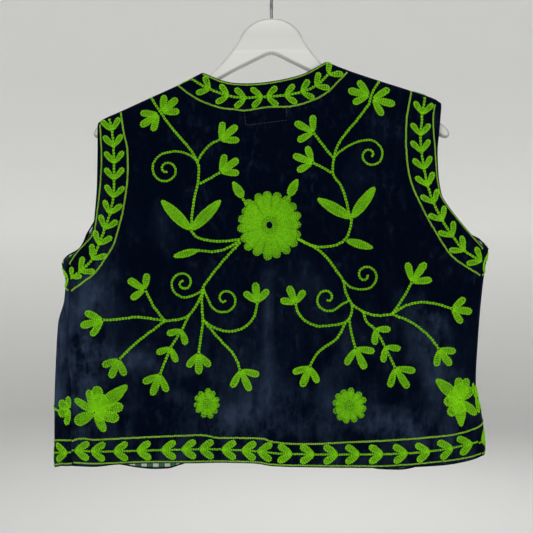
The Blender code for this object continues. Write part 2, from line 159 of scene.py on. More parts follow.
# Soft folds and creases: place x and z, direction in degrees from +X, half length, half width, height
FOLDS_BACK = (
    (-175, -480, 62, 75, 20, 1.8),
    (-58, -548, 76, 62, 24, -1.6),
    (52, -520, 88, 85, 26, 1.7),
    (150, -450, 112, 80, 22, 1.6),
    (196, -560, 70, 45, 22, -1.5),
    (-212, -400, 30, 42, 16, -1.4),
    (208, -395, 148, 46, 17, -1.5),
    (-150, -250, 80, 60, 24, -1.3),
    (145, -240, 98, 60, 24, -1.3),
    (-4, -428, 90, 95, 3.5, 0.6),
    (-206, -398, 90, 28, 3.5, 0.6),
    (-203, -473, -15, 38, 5, -1.3),
    (-186, -488, -12, 30, 6, 0.8),
    (-56, -566, -22, 34, 6, -1.2),
    (-96, -470, 60, 40, 8, -0.7),
    (198, -437, -50, 20, 5, -1.0),
    (205, -590, 20, 28, 6, 0.9),
    (-192, -385, 28, 40, 7, 0.9),
    (205, -372, 150, 38, 7, 0.9),
    (96, -590, 84, 30, 9, -0.8),
    (20, -585, 97, 34, 8, 0.8),
)
FOLDS_FRONT = (
    (-168, -500, 80, 85, 22, 1.9),
    (-92, -540, 94, 70, 24, -1.6),
    (-120, -330, 64, 80, 22, 1.5),
    (105, -525, 84, 90, 24, 1.8),
    (176, -470, 104, 70, 20, -1.6),
    (118, -330, 118, 75, 22, 1.4),
    (-205, -455, 25, 38, 6, -1.1),
    (-60, -470, 82, 60, 5, 0.7),
    (-150, -575, -18, 36, 7, 1.0),
    (-40, -350, 70, 40, 7, -0.8),
    (62, -420, 95, 70, 5, 0.7),
    (212, -430, 152, 40, 6, -1.1),
    (140, -582, 14, 38, 7, 1.0),
    (45, -345, 110, 42, 7, -0.8),
)

# Painted sheen where crushed nap catches the light: place x and z, direction, half length, half width,
# strength
CRUSHED_SHEEN_BACK = (
    (0, -640, 0, 330, 150, 0.26),
    (-2, -556, 10, 48, 26, 0.16),
    (-4, -428, 90, 95, 5, 0.26),
    (-40, -548, 40, 60, 14, 0.26),
    (-226, -480, 84, 130, 26, 0.55),
    (-200, -398, 70, 50, 12, 0.12),
    (-172, -480, -12, 50, 12, 0.35),
    (-96, -500, 60, 55, 18, 0.2),
    (60, -420, 120, 70, 18, 0.14),
    (190, -472, 112, 70, 20, 0.4),
    (196, -428, -52, 22, 6, 0.45),
    (150, -560, 165, 70, 18, 0.42),
    (110, -250, 60, 50, 18, 0.08),
    (-130, -320, 110, 50, 18, 0.08),
)
CRUSHED_SHEEN_FRONT = (
    (-284, -490, 88, 130, 24, 0.8),
    (-230, -560, 80, 50, 20, 0.3),
    (-130, -480, 70, 70, 20, 0.4),
    (-60, -560, 100, 60, 18, 0.35),
    (276, -480, 90, 120, 22, 0.35),
    (130, -460, 110, 70, 20, 0.4),
    (60, -550, 80, 60, 18, 0.35),
)


def smooth_table(table):
    """A function that reads a table of increasing places as one smooth curve that never overshoots."""
    xs, ys = (np.array(column, float) for column in zip(*table))
    widths = np.diff(xs)
    steps = np.diff(ys) / widths
    slopes = np.empty_like(ys)
    slopes[0], slopes[-1] = steps[0], steps[-1]
    same_way = steps[:-1] * steps[1:] > 0
    total = np.where(same_way, steps[:-1] + steps[1:], 1.0)
    slopes[1:-1] = np.where(same_way, 2 * steps[:-1] * steps[1:] / total, 0.0)

    def read(place):
        place = np.clip(place, xs[0], xs[-1])
        index = np.clip(np.searchsorted(xs, place) - 1, 0, len(widths) - 1)
        width = widths[index]
        t = (place - xs[index]) / width
        start = ys[index] * (1 + 2 * t) * (1 - t) ** 2 + slopes[index] * width * t * (1 - t) ** 2
        end = ys[index + 1] * t * t * (3 - 2 * t) + slopes[index + 1] * width * t * t * (t - 1)
        return start + end

    return read


def lerp(a, b, t):
    return a + (b - a) * t


def smooth_step(t):
    t = np.clip(t, 0.0, 1.0)
    return t * t * (3 - 2 * t)


def unit(vectors):
    return vectors / np.maximum(np.linalg.norm(vectors, axis=-1, keepdims=True), TINY)


class Side:
    """One side of the vest, with distances from the middle counted as positive."""

    def __init__(self, name, sign, seam, fold, arm, front_arm, shoulder, neck_front, hem_front):
        self.name = name
        self.sign = sign
        self.seam = smooth_table(seam)
        self.fold_low = smooth_table(fold)
        self.arm = smooth_table(arm)
        self.front_arm = smooth_table(front_arm)
        self.shoulder = smooth_table(shoulder)
        self.neck_front = smooth_table(neck_front)
        self.hem_front = smooth_table(hem_front)
        self.hem_z, self.hem_x = seam[0]
        self.underarm_z = arm[0][0]
        self.tip_z, self.tip_x = arm[-1]
        self.neck_x, self.neck_z = neck_front[-1]
        self.fold_gap = fold[-1][1] - arm[0][1]

    def edge_z(self, v):
        return lerp(self.hem_z, self.tip_z, v)

    def back_edge(self, z):
        return np.where(z < self.underarm_z, self.seam(z), self.arm(z))

    def fold(self, z):
        return np.where(z < self.underarm_z, self.fold_low(z), self.arm(z) + self.fold_gap)


LEFT = Side(
    "left", -1, SEAM_LEFT, FOLD_LEFT, ARM_LEFT, FRONT_ARM_LEFT,
    SHOULDER_LEFT, NECK_FRONT_LEFT, HEM_FRONT_LEFT,
)
RIGHT = Side(
    "right", 1, SEAM_RIGHT, FOLD_RIGHT, ARM_RIGHT, FRONT_ARM_RIGHT,
    SHOULDER_RIGHT, NECK_FRONT_RIGHT, HEM_FRONT_RIGHT,
)
NECK = smooth_table(NECK_BACK)
HEM = smooth_table(HEM_BACK)


def ridge(x):
    """Height of the line over which the cloth turns from back to front."""
    between = lerp(LEFT.neck_z, RIGHT.neck_z, (x + LEFT.neck_x) / (RIGHT.neck_x + LEFT.neck_x))
    inner = np.where(x > RIGHT.neck_x, RIGHT.shoulder(x), between)
    return np.where(x < -LEFT.neck_x, LEFT.shoulder(-x), inner)


def half_depth(x, z):
    """Distance of the outside from the middle plane, before folds and rounded sides."""
    drop = np.maximum(ridge(x) - z, 0.001)
    inside_neck = np.minimum(x + LEFT.neck_x, RIGHT.neck_x - x)
    turn_drop = drop + NECK_RISE * smooth_step(inside_neck / NECK_RISE_WIDTH)
    over = 1 - np.minimum(turn_drop / RIDGE_DROP, 1.0)
    return RIDGE_HALF * np.sqrt(1 - over * over) + (BODY_HALF - RIDGE_HALF) * smooth_step(drop / BODY_DROP)


def spots(table, x, z):
    """Sum of soft long spots, each with its place, direction, lengths and height."""
    total = np.zeros(np.broadcast(x, z).shape)
    for place_x, place_z, turn, half_length, half_width, height in table:
        c, s = np.cos(radians(turn)), np.sin(radians(turn))
        along = (x - place_x) * c + (z - place_z) * s
        across = (z - place_z) * c - (x - place_x) * s
        total = total + height * np.exp(-(along / half_length) ** 2 - (across / half_width) ** 2)
    return total


def soft_folds(table, x, z):
    return spots(table, x, z) * smooth_step((ridge(x) - z) / FOLD_FADE)


def side_turn(side, w, z):
    """How far the cloth has turned towards the back at w along it from the centre front."""
    return np.maximum(w - side.fold(z) + SIDE_ROUND, 0.0) / SIDE_ARC * pi / 2


def front_x(side, w, z):
    """Distance from the middle of a front point at w along the cloth."""
    return np.minimum(w, side.fold(z) - SIDE_ROUND) + SIDE_ROUND * np.sin(side_turn(side, w, z))


def around(side, w, z):
    """Outside points of a front at w along the cloth from the centre front, round the fold to the back."""
    turn = side_turn(side, w, z)
    x = side.sign * front_x(side, w, z)
    folds = np.where(turn < pi / 2, soft_folds(FOLDS_FRONT, x, z), soft_folds(FOLDS_BACK, x, z))
    depth = half_depth(x, z) + folds * np.abs(np.cos(turn))
    return np.stack((x, depth * np.cos(turn), z), axis=-1)


def seam_w(side, z):
    """Place of the side seam along the cloth of a front."""
    middle = side.fold(z) - SIDE_ROUND
    return middle + SIDE_ARC * (2 - np.arcsin((side.back_edge(z) - middle) / SIDE_ROUND) / (pi / 2))


def front_w(side, x, z):
    """Place along the cloth of a front point at distance x from the middle."""
    middle = side.fold(z) - SIDE_ROUND
    beyond = np.clip((x - middle) / SIDE_ROUND, 0.0, 1.0)
    return np.minimum(x, middle) + SIDE_ARC * np.arcsin(beyond) / (pi / 2)


def back_point(x, z):
    """Outside points of the back panel."""
    middle = np.where(x < 0, LEFT.fold(z), RIGHT.fold(z)) - SIDE_ROUND
    rounded = np.clip((np.abs(x) - middle) / SIDE_ROUND, 0.0, 0.999)
    share = np.sqrt(1 - rounded ** 2)
    depth = share * (half_depth(x, z) + soft_folds(FOLDS_BACK, x, z) * share)
    return np.stack((x, -depth, z), axis=-1)


def back_at(u, v):
    """Outside points of the back panel at shares of the way across and up."""
    left = -LEFT.back_edge(LEFT.edge_z(v)) + SEAM_HALF_GAP
    right = RIGHT.back_edge(RIGHT.edge_z(v)) - SEAM_HALF_GAP
    top_x = lerp(SEAM_HALF_GAP - LEFT.tip_x, RIGHT.tip_x - SEAM_HALF_GAP, u)
    in_neck = (top_x > -LEFT.neck_x) & (top_x < RIGHT.neck_x)
    top = np.where(in_neck, NECK(top_x), ridge(top_x))
    low = HEM(lerp(-LEFT.hem_x, RIGHT.hem_x, u))
    return back_point(lerp(left, right, u), lerp(low, top, v))


def front_edge_w(side, v):
    """Place along the cloth of a front's outer edge, at its side seam or its armhole."""
    z = side.edge_z(v)
    seam = seam_w(side, z) - SEAM_HALF_GAP
    share = (v - UNDERARM) / (1 - UNDERARM)
    turned = np.sin(pi / 2 * np.clip(share / ARM_TURN, 0.0, 1.0))
    return lerp(seam, front_w(side, side.front_arm(z), z), turned)


def front_cloth_at(side, u, v):
    """Place along the cloth and height of a front's points at shares of the way in and up."""
    w = lerp(front_edge_w(side, v), FRONT_HALF_GAP, u)
    top_x = front_x(side, lerp(front_edge_w(side, 1.0), FRONT_HALF_GAP, u), side.tip_z)
    top = np.where(top_x < side.neck_x, side.neck_front(top_x), side.shoulder(top_x))
    low = side.hem_front(lerp(seam_w(side, side.hem_z), FRONT_HALF_GAP, u))
    level = smooth_step(1 - u / LEVEL_REACH) * np.exp(-((v - UNDERARM) / LEVEL_SPREAD) ** 2)
    return w, lerp(lerp(low, top, v), side.edge_z(v), level)


def outward_normals(across, up, outward):
    """Normals of a surface from its two directions, on the side that a rough outward direction shows."""
    normals = unit(np.cross(across, up))
    facing = np.sum(normals * outward, axis=-1, keepdims=True)
    return normals * np.where(facing > 0, 1.0, -1.0)


def back_outward(points):
    return np.broadcast_to((0.0, -1.0, OUTWARD_LIFT), points.shape)


def front_outward(side):
    def outward(points):
        beyond = side.sign * np.maximum(np.abs(points[..., 0]) - side.fold(points[..., 2]) + SIDE_ROUND, 0.0)
        return np.stack((beyond, points[..., 1], np.full_like(beyond, OUTWARD_LIFT)), axis=-1)

    return outward


def grid_with_normals(point_at, shares_u, shares_v, outward):
    """Points and outward normals of a panel's grid."""
    u, v = np.meshgrid(shares_u, shares_v, indexing="ij")
    points = point_at(u, v)
    across = point_at(np.minimum(u + SHARE_STEP, 1), v) - point_at(np.maximum(u - SHARE_STEP, 0), v)
    up = point_at(u, np.minimum(v + SHARE_STEP, 1)) - point_at(u, np.maximum(v - SHARE_STEP, 0))
    return points, outward_normals(across, up, outward(points))


def set_back(points, normals, edges):
    """The same grid with its free edges drawn in by the lining's set-back."""
    new_points, new_normals = points.copy(), normals.copy()
    for edge, inner in edges:
        step = points[inner] - points[edge]
        share = np.minimum(LINING_SETBACK / np.linalg.norm(step, axis=-1, keepdims=True), MOST_SETBACK)
        new_points[edge] += step * share
        new_normals[edge] += (normals[inner] - normals[edge]) * share
    return new_points, unit(new_normals)


def add_piece(name, data, material):
    """An object that rides on the part's one body and has the given material in its slot."""
    made = bpy.data.objects.new(name, data)
    bpy.context.scene.collection.objects.link(made)
    data.materials.append(material)
    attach(made, "root")
    return made


def mesh_from(name, vertices, faces):
    data = bpy.data.meshes.new(name)
    data.from_pydata((np.asarray(vertices) * MM).tolist(), [], faces)
    data.update()
    data.shade_smooth()
    return data


def wall_faces(count_u, count_v):
    """Faces of a closed wall whose outer and inner grids follow each other."""
    grid = np.arange(count_u * count_v).reshape(count_u, count_v)
    quads = np.stack((grid[:-1, :-1], grid[1:, :-1], grid[1:, 1:], grid[:-1, 1:]), axis=-1).reshape(-1, 4)
    sheets = np.stack((quads, quads[:, ::-1] + grid.size), axis=1).reshape(-1, 4)
    rim = np.concatenate((grid[:-1, 0], grid[-1, :-1], grid[:0:-1, -1], grid[0, :0:-1]))
    after = np.roll(rim, -1)
    border = np.stack((rim + grid.size, after + grid.size, after, rim), axis=-1)
    return np.concatenate((sheets, border)).tolist()


def cloth_wall(name, points, normals, outer, inner, cloth_places, material, crushed=None):
    """A closed shell of cloth, with its own places on the flat cloth as a UV map in millimetres."""
    count_u, count_v = points.shape[:2]
    layers = [(points - normals * depth).reshape(-1, 3) for depth in (outer, inner)]
    data = mesh_from(name, np.concatenate(layers), wall_faces(count_u, count_v))
    flat = cloth_places.reshape(-1, 2)
    corners = np.empty(len(data.loops), dtype=np.int32)
    data.loops.foreach_get("vertex_index", corners)
    uv = data.uv_layers.new(name="cloth")
    uv.data.foreach_set("uv", flat[corners % len(flat)].astype(np.float32).ravel())
    # Strength of the painted sheen on crushed nap, kept on the velvet's points
    if crushed is not None:
        nap = data.attributes.new("crushed", "FLOAT", "POINT")
        nap.data.foreach_set("value", np.tile(crushed.ravel(), 2).astype(np.float32))
    made = add_piece(name, data, material)
    fix_normals(data)
    return made


def fix_normals(data):
    built = bmesh.new()
    built.from_mesh(data)
    bmesh.ops.recalc_face_normals(built, faces=built.faces[:])
    built.to_mesh(data)
    built.free()
    data.set_sharp_from_angle(angle=radians(SHARP_ANGLE))


def shares_through(*spans):
    """Shares from 0 on, through spans that each have an end and a number of steps."""
    parts, start = [[0.0]], 0.0
    for end, count in spans:
        parts.append(np.linspace(start, end, count + 1)[1:])
        start = end
    return np.concatenate(parts)


def fine_rows():
    """Shares of the way up of the grid lines, close together over the shoulder and at the underarm."""
    height = RIGHT.tip_z - RIGHT.hem_z
    turns = np.linspace(pi / 2, 0, RIDGE_ROWS)
    over = 1 - RIDGE_DROP * (1 - np.cos(turns)) / height
    below = shares_through((UNDERARM, 60), (CLOSE_ROWS, 12), (over[0], 34))
    return np.concatenate((below, over[1:]))


def back_columns():
    start = SEAM_HALF_GAP - LEFT.tip_x
    width = RIGHT.tip_x - SEAM_HALF_GAP - start
    left_neck, right_neck = (-LEFT.neck_x - start) / width, (RIGHT.neck_x - start) / width
    turn = NECK_RISE_WIDTH / width
    return shares_through(
        (CLOSE_SEAM, 10), (left_neck, 24), (left_neck + turn, 8), (right_neck - turn, 30),
        (right_neck, 8), (1 - CLOSE_SEAM, 24), (1.0, 10),
    )


def front_columns(side):
    edge = float(front_edge_w(side, np.float64(1.0)))
    neck = (edge - side.neck_x) / (edge - FRONT_HALF_GAP)
    turn = NECK_RISE_WIDTH / (edge - FRONT_HALF_GAP)
    return shares_through((CLOSE_FOLD, 26), (neck, 24), (neck + turn, 8), (1.0, 18))


def free_edges(rows, arm_columns, neck_columns):
    """Index pairs of edge points and their inner neighbours, which at the neck lie three close rows down."""
    arm = np.flatnonzero(rows > UNDERARM)
    hem = ((slice(None), 0), (slice(None), 1))
    armholes = [((edge, arm), (inner, arm)) for edge, inner in arm_columns]
    return [hem, *armholes, ((neck_columns, -1), (neck_columns, -4))]


def cloth_layers(name, points, normals, places, crushed, edges, velvet, check):
    """A panel's velvet wall, and the lining wall under it that is drawn in at the free edges."""
    cloth = cloth_wall(name + "_velvet", points, normals, 0.0, VELVET, places, velvet, crushed)
    points, normals = set_back(points, normals, edges)
    under = VELVET + LAYER_GAP
    lining = cloth_wall(name + "_lining", points, normals, under, under + LINING, places, check)
    return cloth, lining


def build_back(velvet, check):
    rows, columns = fine_rows(), back_columns()
    points, normals = grid_with_normals(back_at, columns, rows, back_outward)
    places = points[..., (0, 2)]
    crushed = spots(CRUSHED_SHEEN_BACK, points[..., 0], points[..., 2])
    in_neck = np.flatnonzero((points[:, -1, 0] > -LEFT.neck_x) & (points[:, -1, 0] < RIGHT.neck_x))
    edges = free_edges(rows, ((0, 1), (-1, -2)), in_neck)
    cloth, lining = cloth_layers("back", points, normals, places, crushed, edges, velvet, check)
    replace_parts(cloth, "back_panel")
    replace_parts(lining, "lining_back")


def build_front(side, velvet, check):
    rows, columns = fine_rows(), front_columns(side)
    points, normals = grid_with_normals(
        lambda u, v: around(side, *front_cloth_at(side, u, v)), columns, rows, front_outward(side),
    )
    w, z = front_cloth_at(side, *np.meshgrid(columns, rows, indexing="ij"))
    places = np.stack((w * side.sign, z), axis=-1)
    crushed = spots(CRUSHED_SHEEN_FRONT, w * side.sign, z)
    name = "front_" + side.name
    in_neck = np.flatnonzero(np.abs(points[:, -1, 0]) < side.neck_x)
    edges = free_edges(rows, ((0, 1),), in_neck)
    edges.append(((-1, slice(None)), (-2, slice(None))))
    cloth, lining = cloth_layers(name, points, normals, places, crushed, edges, velvet, check)
    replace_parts(cloth, name)
    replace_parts(lining, "lining_" + name)


# Hanger, right half: distance from the middle x, height z of its top edge and of its underside
HANGER_TOP = (
    (0, -68), (12, -69.5), (24, -75), (34, -84.5), (40, -95.5), (47, -106),
    (58, -119.5), (75, -136), (108, -152.5), (155, -173), (200, -193),
)
HANGER_TIP = ((208.5, -197.5), (214.5, -203.5), (216.5, -210), (213, -213.5), (206, -212))
HANGER_UNDER = (
    (195, -206), (150, -186), (105, -164), (75, -149), (45, -132.5), (20, -120), (6, -113.2), (0, -111.8),
)
HANGER_FINE = 6

# Hook: turn of the crook in degrees, its tip as shares of its radius, its stem from the foot up
CROOK_STEPS = 72
CROOK_TURN = (-62, 196)
CROOK_TIP = (-1.02, -0.55)
STEM_ROUTE = ((0, 0), (0, 12), (0, 21), (1.2, 24.5))


def spline_through(points, per_span):
    """A smooth line through points of any dimension, by Catmull-Rom."""
    points = np.asarray(points, float)
    ends = np.concatenate((2 * points[:1] - points[1:2], points, 2 * points[-1:] - points[-2:-1]))
    t = np.linspace(0, 1, per_span, endpoint=False)[:, None]
    parts = []
    for a, b, c, d in zip(ends, ends[1:], ends[2:], ends[3:]):
        parts.append(0.5 * (
            2 * b + (c - a) * t + (2 * a - 5 * b + 4 * c - d) * t ** 2 + (3 * b - a - 3 * c + d) * t ** 3
        ))
    return np.concatenate(parts + [points[-1:]])


def routed_curve(name, dimensions, places, bevel, resolution):
    """Curve data through places in millimetres, with a rounded edge or a round section."""
    data = bpy.data.curves.new(name, "CURVE")
    data.dimensions = dimensions
    data.bevel_depth = bevel * MM
    data.bevel_resolution = resolution
    spline = data.splines.new("POLY")
    spline.points.add(len(places) - 1)
    for point, (x, y, z) in zip(spline.points, places):
        point.co = (x * MM, y * MM, z * MM, 1)
    return data


def build_hanger(paint):
    """The flat board of the hanger, with a finer outline than its solid and the same rounded edges."""
    half = spline_through(HANGER_TOP + HANGER_TIP + HANGER_UNDER, HANGER_FINE)
    outline = np.concatenate((half, half[-2:0:-1] * (-1, 1)))
    data = routed_curve("hanger_board", "2D", [(x, z, 0) for x, z in outline], HANGER_EDGE, 4)
    data.fill_mode = "BOTH"
    data.extrude = (HANGER_THICK / 2 - HANGER_EDGE) * MM
    data.offset = -HANGER_EDGE * MM
    data.splines[0].use_cyclic_u = True
    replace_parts(curve_piece("hanger_board", data, paint, turned=True), "hanger")


def curve_piece(name, data, material, turned=False):
    """A mesh made from a curve, because the piece's points lie in the part's own frame."""
    drawn = bpy.data.objects.new(name + "_curve", data)
    bpy.context.scene.collection.objects.link(drawn)
    if turned:
        drawn.rotation_euler = (radians(90), 0, 0)
    bpy.context.view_layer.update()
    ready = drawn.evaluated_get(bpy.context.evaluated_depsgraph_get())
    mesh = bpy.data.meshes.new_from_object(ready)
    mesh.transform(drawn.matrix_world)
    bpy.data.objects.remove(drawn, do_unlink=True)
    mesh.materials.clear()
    mesh.shade_smooth()
    return add_piece(name, mesh, material)


def build_hook(steel):
    """The wire hook: a straight stem seated on the hanger, a bend and a round crook."""
    radius = (HOOK_INNER + HOOK_WIRE) / 2
    middle_z = HOOK_WIRE / 2 - radius
    foot_z = HOOK_SEAT_GAP - HOOK_STEM
    route = [(x, foot_z + height) for x, height in STEM_ROUTE]
    for turn in np.radians(np.linspace(*CROOK_TURN, CROOK_STEPS + 1)):
        route.append((radius * np.cos(turn), middle_z + radius * np.sin(turn)))
    tip_x, tip_z = CROOK_TIP
    route.append((radius * tip_x, middle_z + radius * tip_z))
    data = routed_curve("hook_wire", "3D", [(x, 0, z) for x, z in route], HOOK_WIRE / 2, 5)
    data.use_fill_caps = True
    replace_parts(curve_piece("hook_wire", data, steel), "hook")


class Shader:
    """A material's node tree, with short calls to add nodes and join them."""

    def __init__(self, name, roughness, **values):
        self.material = bpy.data.materials.new(name)
        self.material.use_nodes = True
        self.tree = self.material.node_tree
        self.surface = self.tree.nodes["Principled BSDF"]
        self.finish(Roughness=roughness, **values)

    def finish(self, **values):
        """Gives the surface's sockets, named with _ for a space, their outputs or plain values."""
        for socket, value in values.items():
            self.put(self.surface.inputs[socket.replace("_", " ")], value)

    def add(self, kind, **settings):
        node = self.tree.nodes.new("ShaderNode" + kind)
        for setting, value in settings.items():
            setattr(node, setting, value)
        return node

    def put(self, socket, value):
        """Links an output to a socket, or sets the socket to a plain value."""
        if isinstance(value, bpy.types.NodeSocket):
            self.tree.links.new(value, socket)
        else:
            socket.default_value = value

    def maths(self, operation, first, second=0.0, third=0.0):
        node = self.add("Math", operation=operation)
        for socket, value in zip(node.inputs, (first, second, third)):
            self.put(socket, value)
        return node.outputs[0]

    def blend(self, first, first_share, second, second_share):
        return self.maths(
            "ADD", self.maths("MULTIPLY", first, first_share), self.maths("MULTIPLY", second, second_share),
        )

    def mix(self, share, first, second):
        node = self.add("Mix", data_type="RGBA")
        self.put(node.inputs["Factor"], share)
        self.put(node.inputs["A"], first)
        self.put(node.inputs["B"], second)
        return node.outputs["Result"]

    def noise(self, scale, detail=3.0, roughness=0.5, vector=None):
        node = self.add("TexNoise")
        node.inputs["Scale"].default_value = scale
        node.inputs["Detail"].default_value = detail
        node.inputs["Roughness"].default_value = roughness
        self.put(node.inputs["Vector"], vector or self.place())
        return node.outputs["Fac"]

    def place(self, scale=(1, 1, 1)):
        """Place on the object in metres, stretched by a scale."""
        stretch = self.add("Mapping")
        stretch.inputs["Scale"].default_value = scale
        self.put(stretch.inputs["Vector"], self.add("TexCoord").outputs["Object"])
        return stretch.outputs["Vector"]

    def ramp(self, value, *stops):
        """A smooth map of a value to grey or colour through stops of place and level."""
        node = self.add("ValToRGB")
        self.put(node.inputs["Fac"], value)
        elements = node.color_ramp.elements
        while len(elements) < len(stops):
            elements.new(0.5)
        for element, (place, level) in zip(elements, stops):
            element.position = place
            element.color = level if isinstance(level, tuple) else (level, level, level, 1)
        return node.outputs["Color"]

    def bump(self, height, distance, strength=1.0, under=None):
        node = self.add("Bump")
        node.inputs["Strength"].default_value = strength
        node.inputs["Distance"].default_value = distance
        self.put(node.inputs["Height"], height)
        if under is not None:
            self.put(node.inputs["Normal"], under)
        return node.outputs["Normal"]


# Colours: velvet with flat nap and with the painted sheen of crushed nap, the check, clean paint and its grey
# for smudges and painted edge shade, clean and dirty steel, dark and light threads
NAP_AND_SHEEN_COLOURS = ((0.0006, 0.002, 0.0068, 1), (0.045, 0.072, 0.130, 1))
CHECK_GROUND = (0.012, 0.02, 0.018, 1)
CHECK_GREEN = (0.075, 0.235, 0.1, 1)
CHECK_WHITE = (0.95, 0.96, 0.92, 1)
CHECK_LINE = (0.02, 0.04, 0.03, 1)
PAINT_COLOURS = ((0.74, 0.74, 0.715, 1), (0.34, 0.34, 0.33, 1))
STEEL_COLOURS = ((0.2, 0.2, 0.22, 1), (0.08, 0.075, 0.07, 1))
GREEN_THREAD = ((0.108, 0.375, 0.004, 1), (0.28, 0.745, 0.008, 1))
BORDER_THREAD = ((0.135, 0.34, 0.012, 1), (0.38, 0.7, 0.065, 1))
LABEL_THREAD = ((0.02, 0.023, 0.033, 1), (0.1, 0.11, 0.14, 1))

# Check: repeat, share of a band, fine lines in a repeat, their share and strength, start, pitch of the weave
CHECK_PERIOD = 14.6
CHECK_BAND = 0.46
CHECK_LINES = 8.0
LINE_SHARE = 0.24
LINE_STRENGTH = 0.3
CHECK_SHIFT = {"X": 0.1, "Y": 0.55}
WEAVE_PITCH = 0.62


def velvet_material():
    """Cotton velvet: near black, with painted slate-blue sheen where the nap is crushed or rubbed, and a
    faint bluish sheen of its own.
    """
    shader = Shader(
        "navy_velvet", 0.9, Sheen_Weight=0.02, Sheen_Roughness=0.5,
        Sheen_Tint=(0.45, 0.58, 0.9, 1), Specular_IOR_Level=0.0,
    )
    # Painted sheen: slate blue is mixed into the base colour where the nap is crushed, in cloudy streaks, and
    # in flecks where it is rubbed
    crushed = shader.add("Attribute", attribute_name="crushed").outputs["Fac"]
    cloudy = shader.noise(17, 6, 0.68)
    streaks = shader.noise(34, 6, 0.72, shader.place((1.5, 1, 0.45)))
    rubbed_sheen = shader.noise(120, 4, 0.7, shader.place((1, 1, 0.6)))
    mottle = shader.blend(cloudy, 0.55, streaks, 0.45)
    sheen_patches = shader.maths("MULTIPLY", crushed, shader.ramp(mottle, (0.43, 0.04), (0.6, 1.0)))
    painted_light_mask = shader.ramp(rubbed_sheen, (0.5, 0.0), (0.75, 1.0))
    sheen_flecks = shader.maths("MULTIPLY", painted_light_mask, shader.ramp(mottle, (0.45, 0.0), (0.66, 0.3)))
    pale = shader.maths("MINIMUM", shader.maths("ADD", sheen_patches, sheen_flecks), 1.0)
    pile = shader.noise(2600, 2, 0.6)
    lay = shader.bump(shader.noise(60, 4, 0.6), 0.0012, 0.35)
    shader.finish(Base_Color=shader.mix(pale, *NAP_AND_SHEEN_COLOURS), Normal=shader.bump(pile, 0.00025, 0.5, lay))
    return shader.material


def check_material():
    """Woven check of black, green and white bands, from the places on the flat cloth in millimetres."""
    shader = Shader("checked_lining", 0.9, Sheen_Weight=0.1, Specular_IOR_Level=0.15)
    flat = shader.add("SeparateXYZ")
    shader.put(flat.inputs[0], shader.add("UVMap", uv_map="cloth").outputs["UV"])
    bands, lines, weave = [], [], []
    for axis in ("X", "Y"):
        place = shader.maths("MULTIPLY_ADD", flat.outputs[axis], 1 / CHECK_PERIOD, CHECK_SHIFT[axis])
        share = shader.maths("FRACT", place)
        bands.append(shader.maths("LESS_THAN", share, CHECK_BAND))
        fine = shader.maths("FRACT", shader.maths("MULTIPLY", share, CHECK_LINES))
        lines.append(shader.maths("LESS_THAN", fine, LINE_SHARE))
        turn = shader.maths("MULTIPLY", flat.outputs[axis], 2 * pi / WEAVE_PITCH)
        weave.append(shader.maths("SINE", turn))
    white = shader.maths("MULTIPLY", *bands)
    either = shader.maths("MAXIMUM", *bands)
    dark = shader.maths("MAXIMUM", *lines)
    pattern = shader.mix(white, shader.mix(either, CHECK_GROUND, CHECK_GREEN), CHECK_WHITE)
    lined = shader.mix(shader.maths("MULTIPLY", dark, LINE_STRENGTH), pattern, CHECK_LINE)
    woven = shader.maths("MULTIPLY", *weave)
    shader.finish(Base_Color=lined, Normal=shader.bump(woven, 0.0001, 0.6))
    return shader.material


def thread_material(name, dark, light):
    """Chain-stitch yarn: matt, uneven from stitch to stitch, with fine fibres."""
    shader = Shader(name, 0.85, Sheen_Weight=0.02, Specular_IOR_Level=0.03)
    uneven = shader.noise(420, 3, 0.6)
    washed = shader.noise(26, 2, 0.5)
    tint = shader.add("Attribute", attribute_name="tint").outputs["Fac"]
    share = shader.maths(
        "ADD", shader.blend(uneven, 0.55, washed, 0.35), shader.maths("MULTIPLY", tint, 0.7),
    )
    colour = shader.mix(shader.ramp(share, (0.15, 0.0), (0.75, 1.0)), dark, light)
    fibres = shader.noise(5200, 2, 0.6)
    shader.finish(Base_Color=colour, Normal=shader.bump(fibres, 0.00012, 0.6))
    return shader.material


def paint_material():
    """White paint on wood: a faint grain below, brush marks and painted shade that greys the rounded edges.
    """
    shader = Shader("white_paint", 0.42, Specular_IOR_Level=0.45)
    grain = shader.noise(240, 4, 0.6, shader.place((0.12, 1, 1)))
    smudge = shader.noise(18, 4, 0.6)
    share = shader.ramp(smudge, (0.45, 0.0), (0.8, 1.0))
    # Painted shade: the rounded edges, picked out by their pointiness, turn grey
    painted_light_mask = shader.ramp(shader.add("NewGeometry").outputs["Pointiness"], (0.508, 0.0), (0.529, 0.95))
    smudge_and_edge_shade = shader.maths("MAXIMUM", shader.maths("MULTIPLY", share, 0.2), painted_light_mask)
    shader.finish(Base_Color=shader.mix(smudge_and_edge_shade, *PAINT_COLOURS), Normal=shader.bump(grain, 0.0003, 0.15))
    return shader.material


def steel_material():
    """Drawn wire with fine marks along it and dull spots."""
    shader = Shader("hook_wire_steel", 0.35, Metallic=1.0)
    marks = shader.noise(1500, 3, 0.6, shader.place((1, 1, 0.1)))
    dirt = shader.noise(160, 4, 0.6)
    shader.finish(
        Base_Color=shader.mix(shader.ramp(dirt, (0.45, 0.0), (0.75, 1.0)), *STEEL_COLOURS),
        Roughness=shader.ramp(dirt, (0.3, 0.3), (0.8, 0.55)),
        Normal=shader.bump(marks, 0.00004, 0.5),
    )
    return shader.material


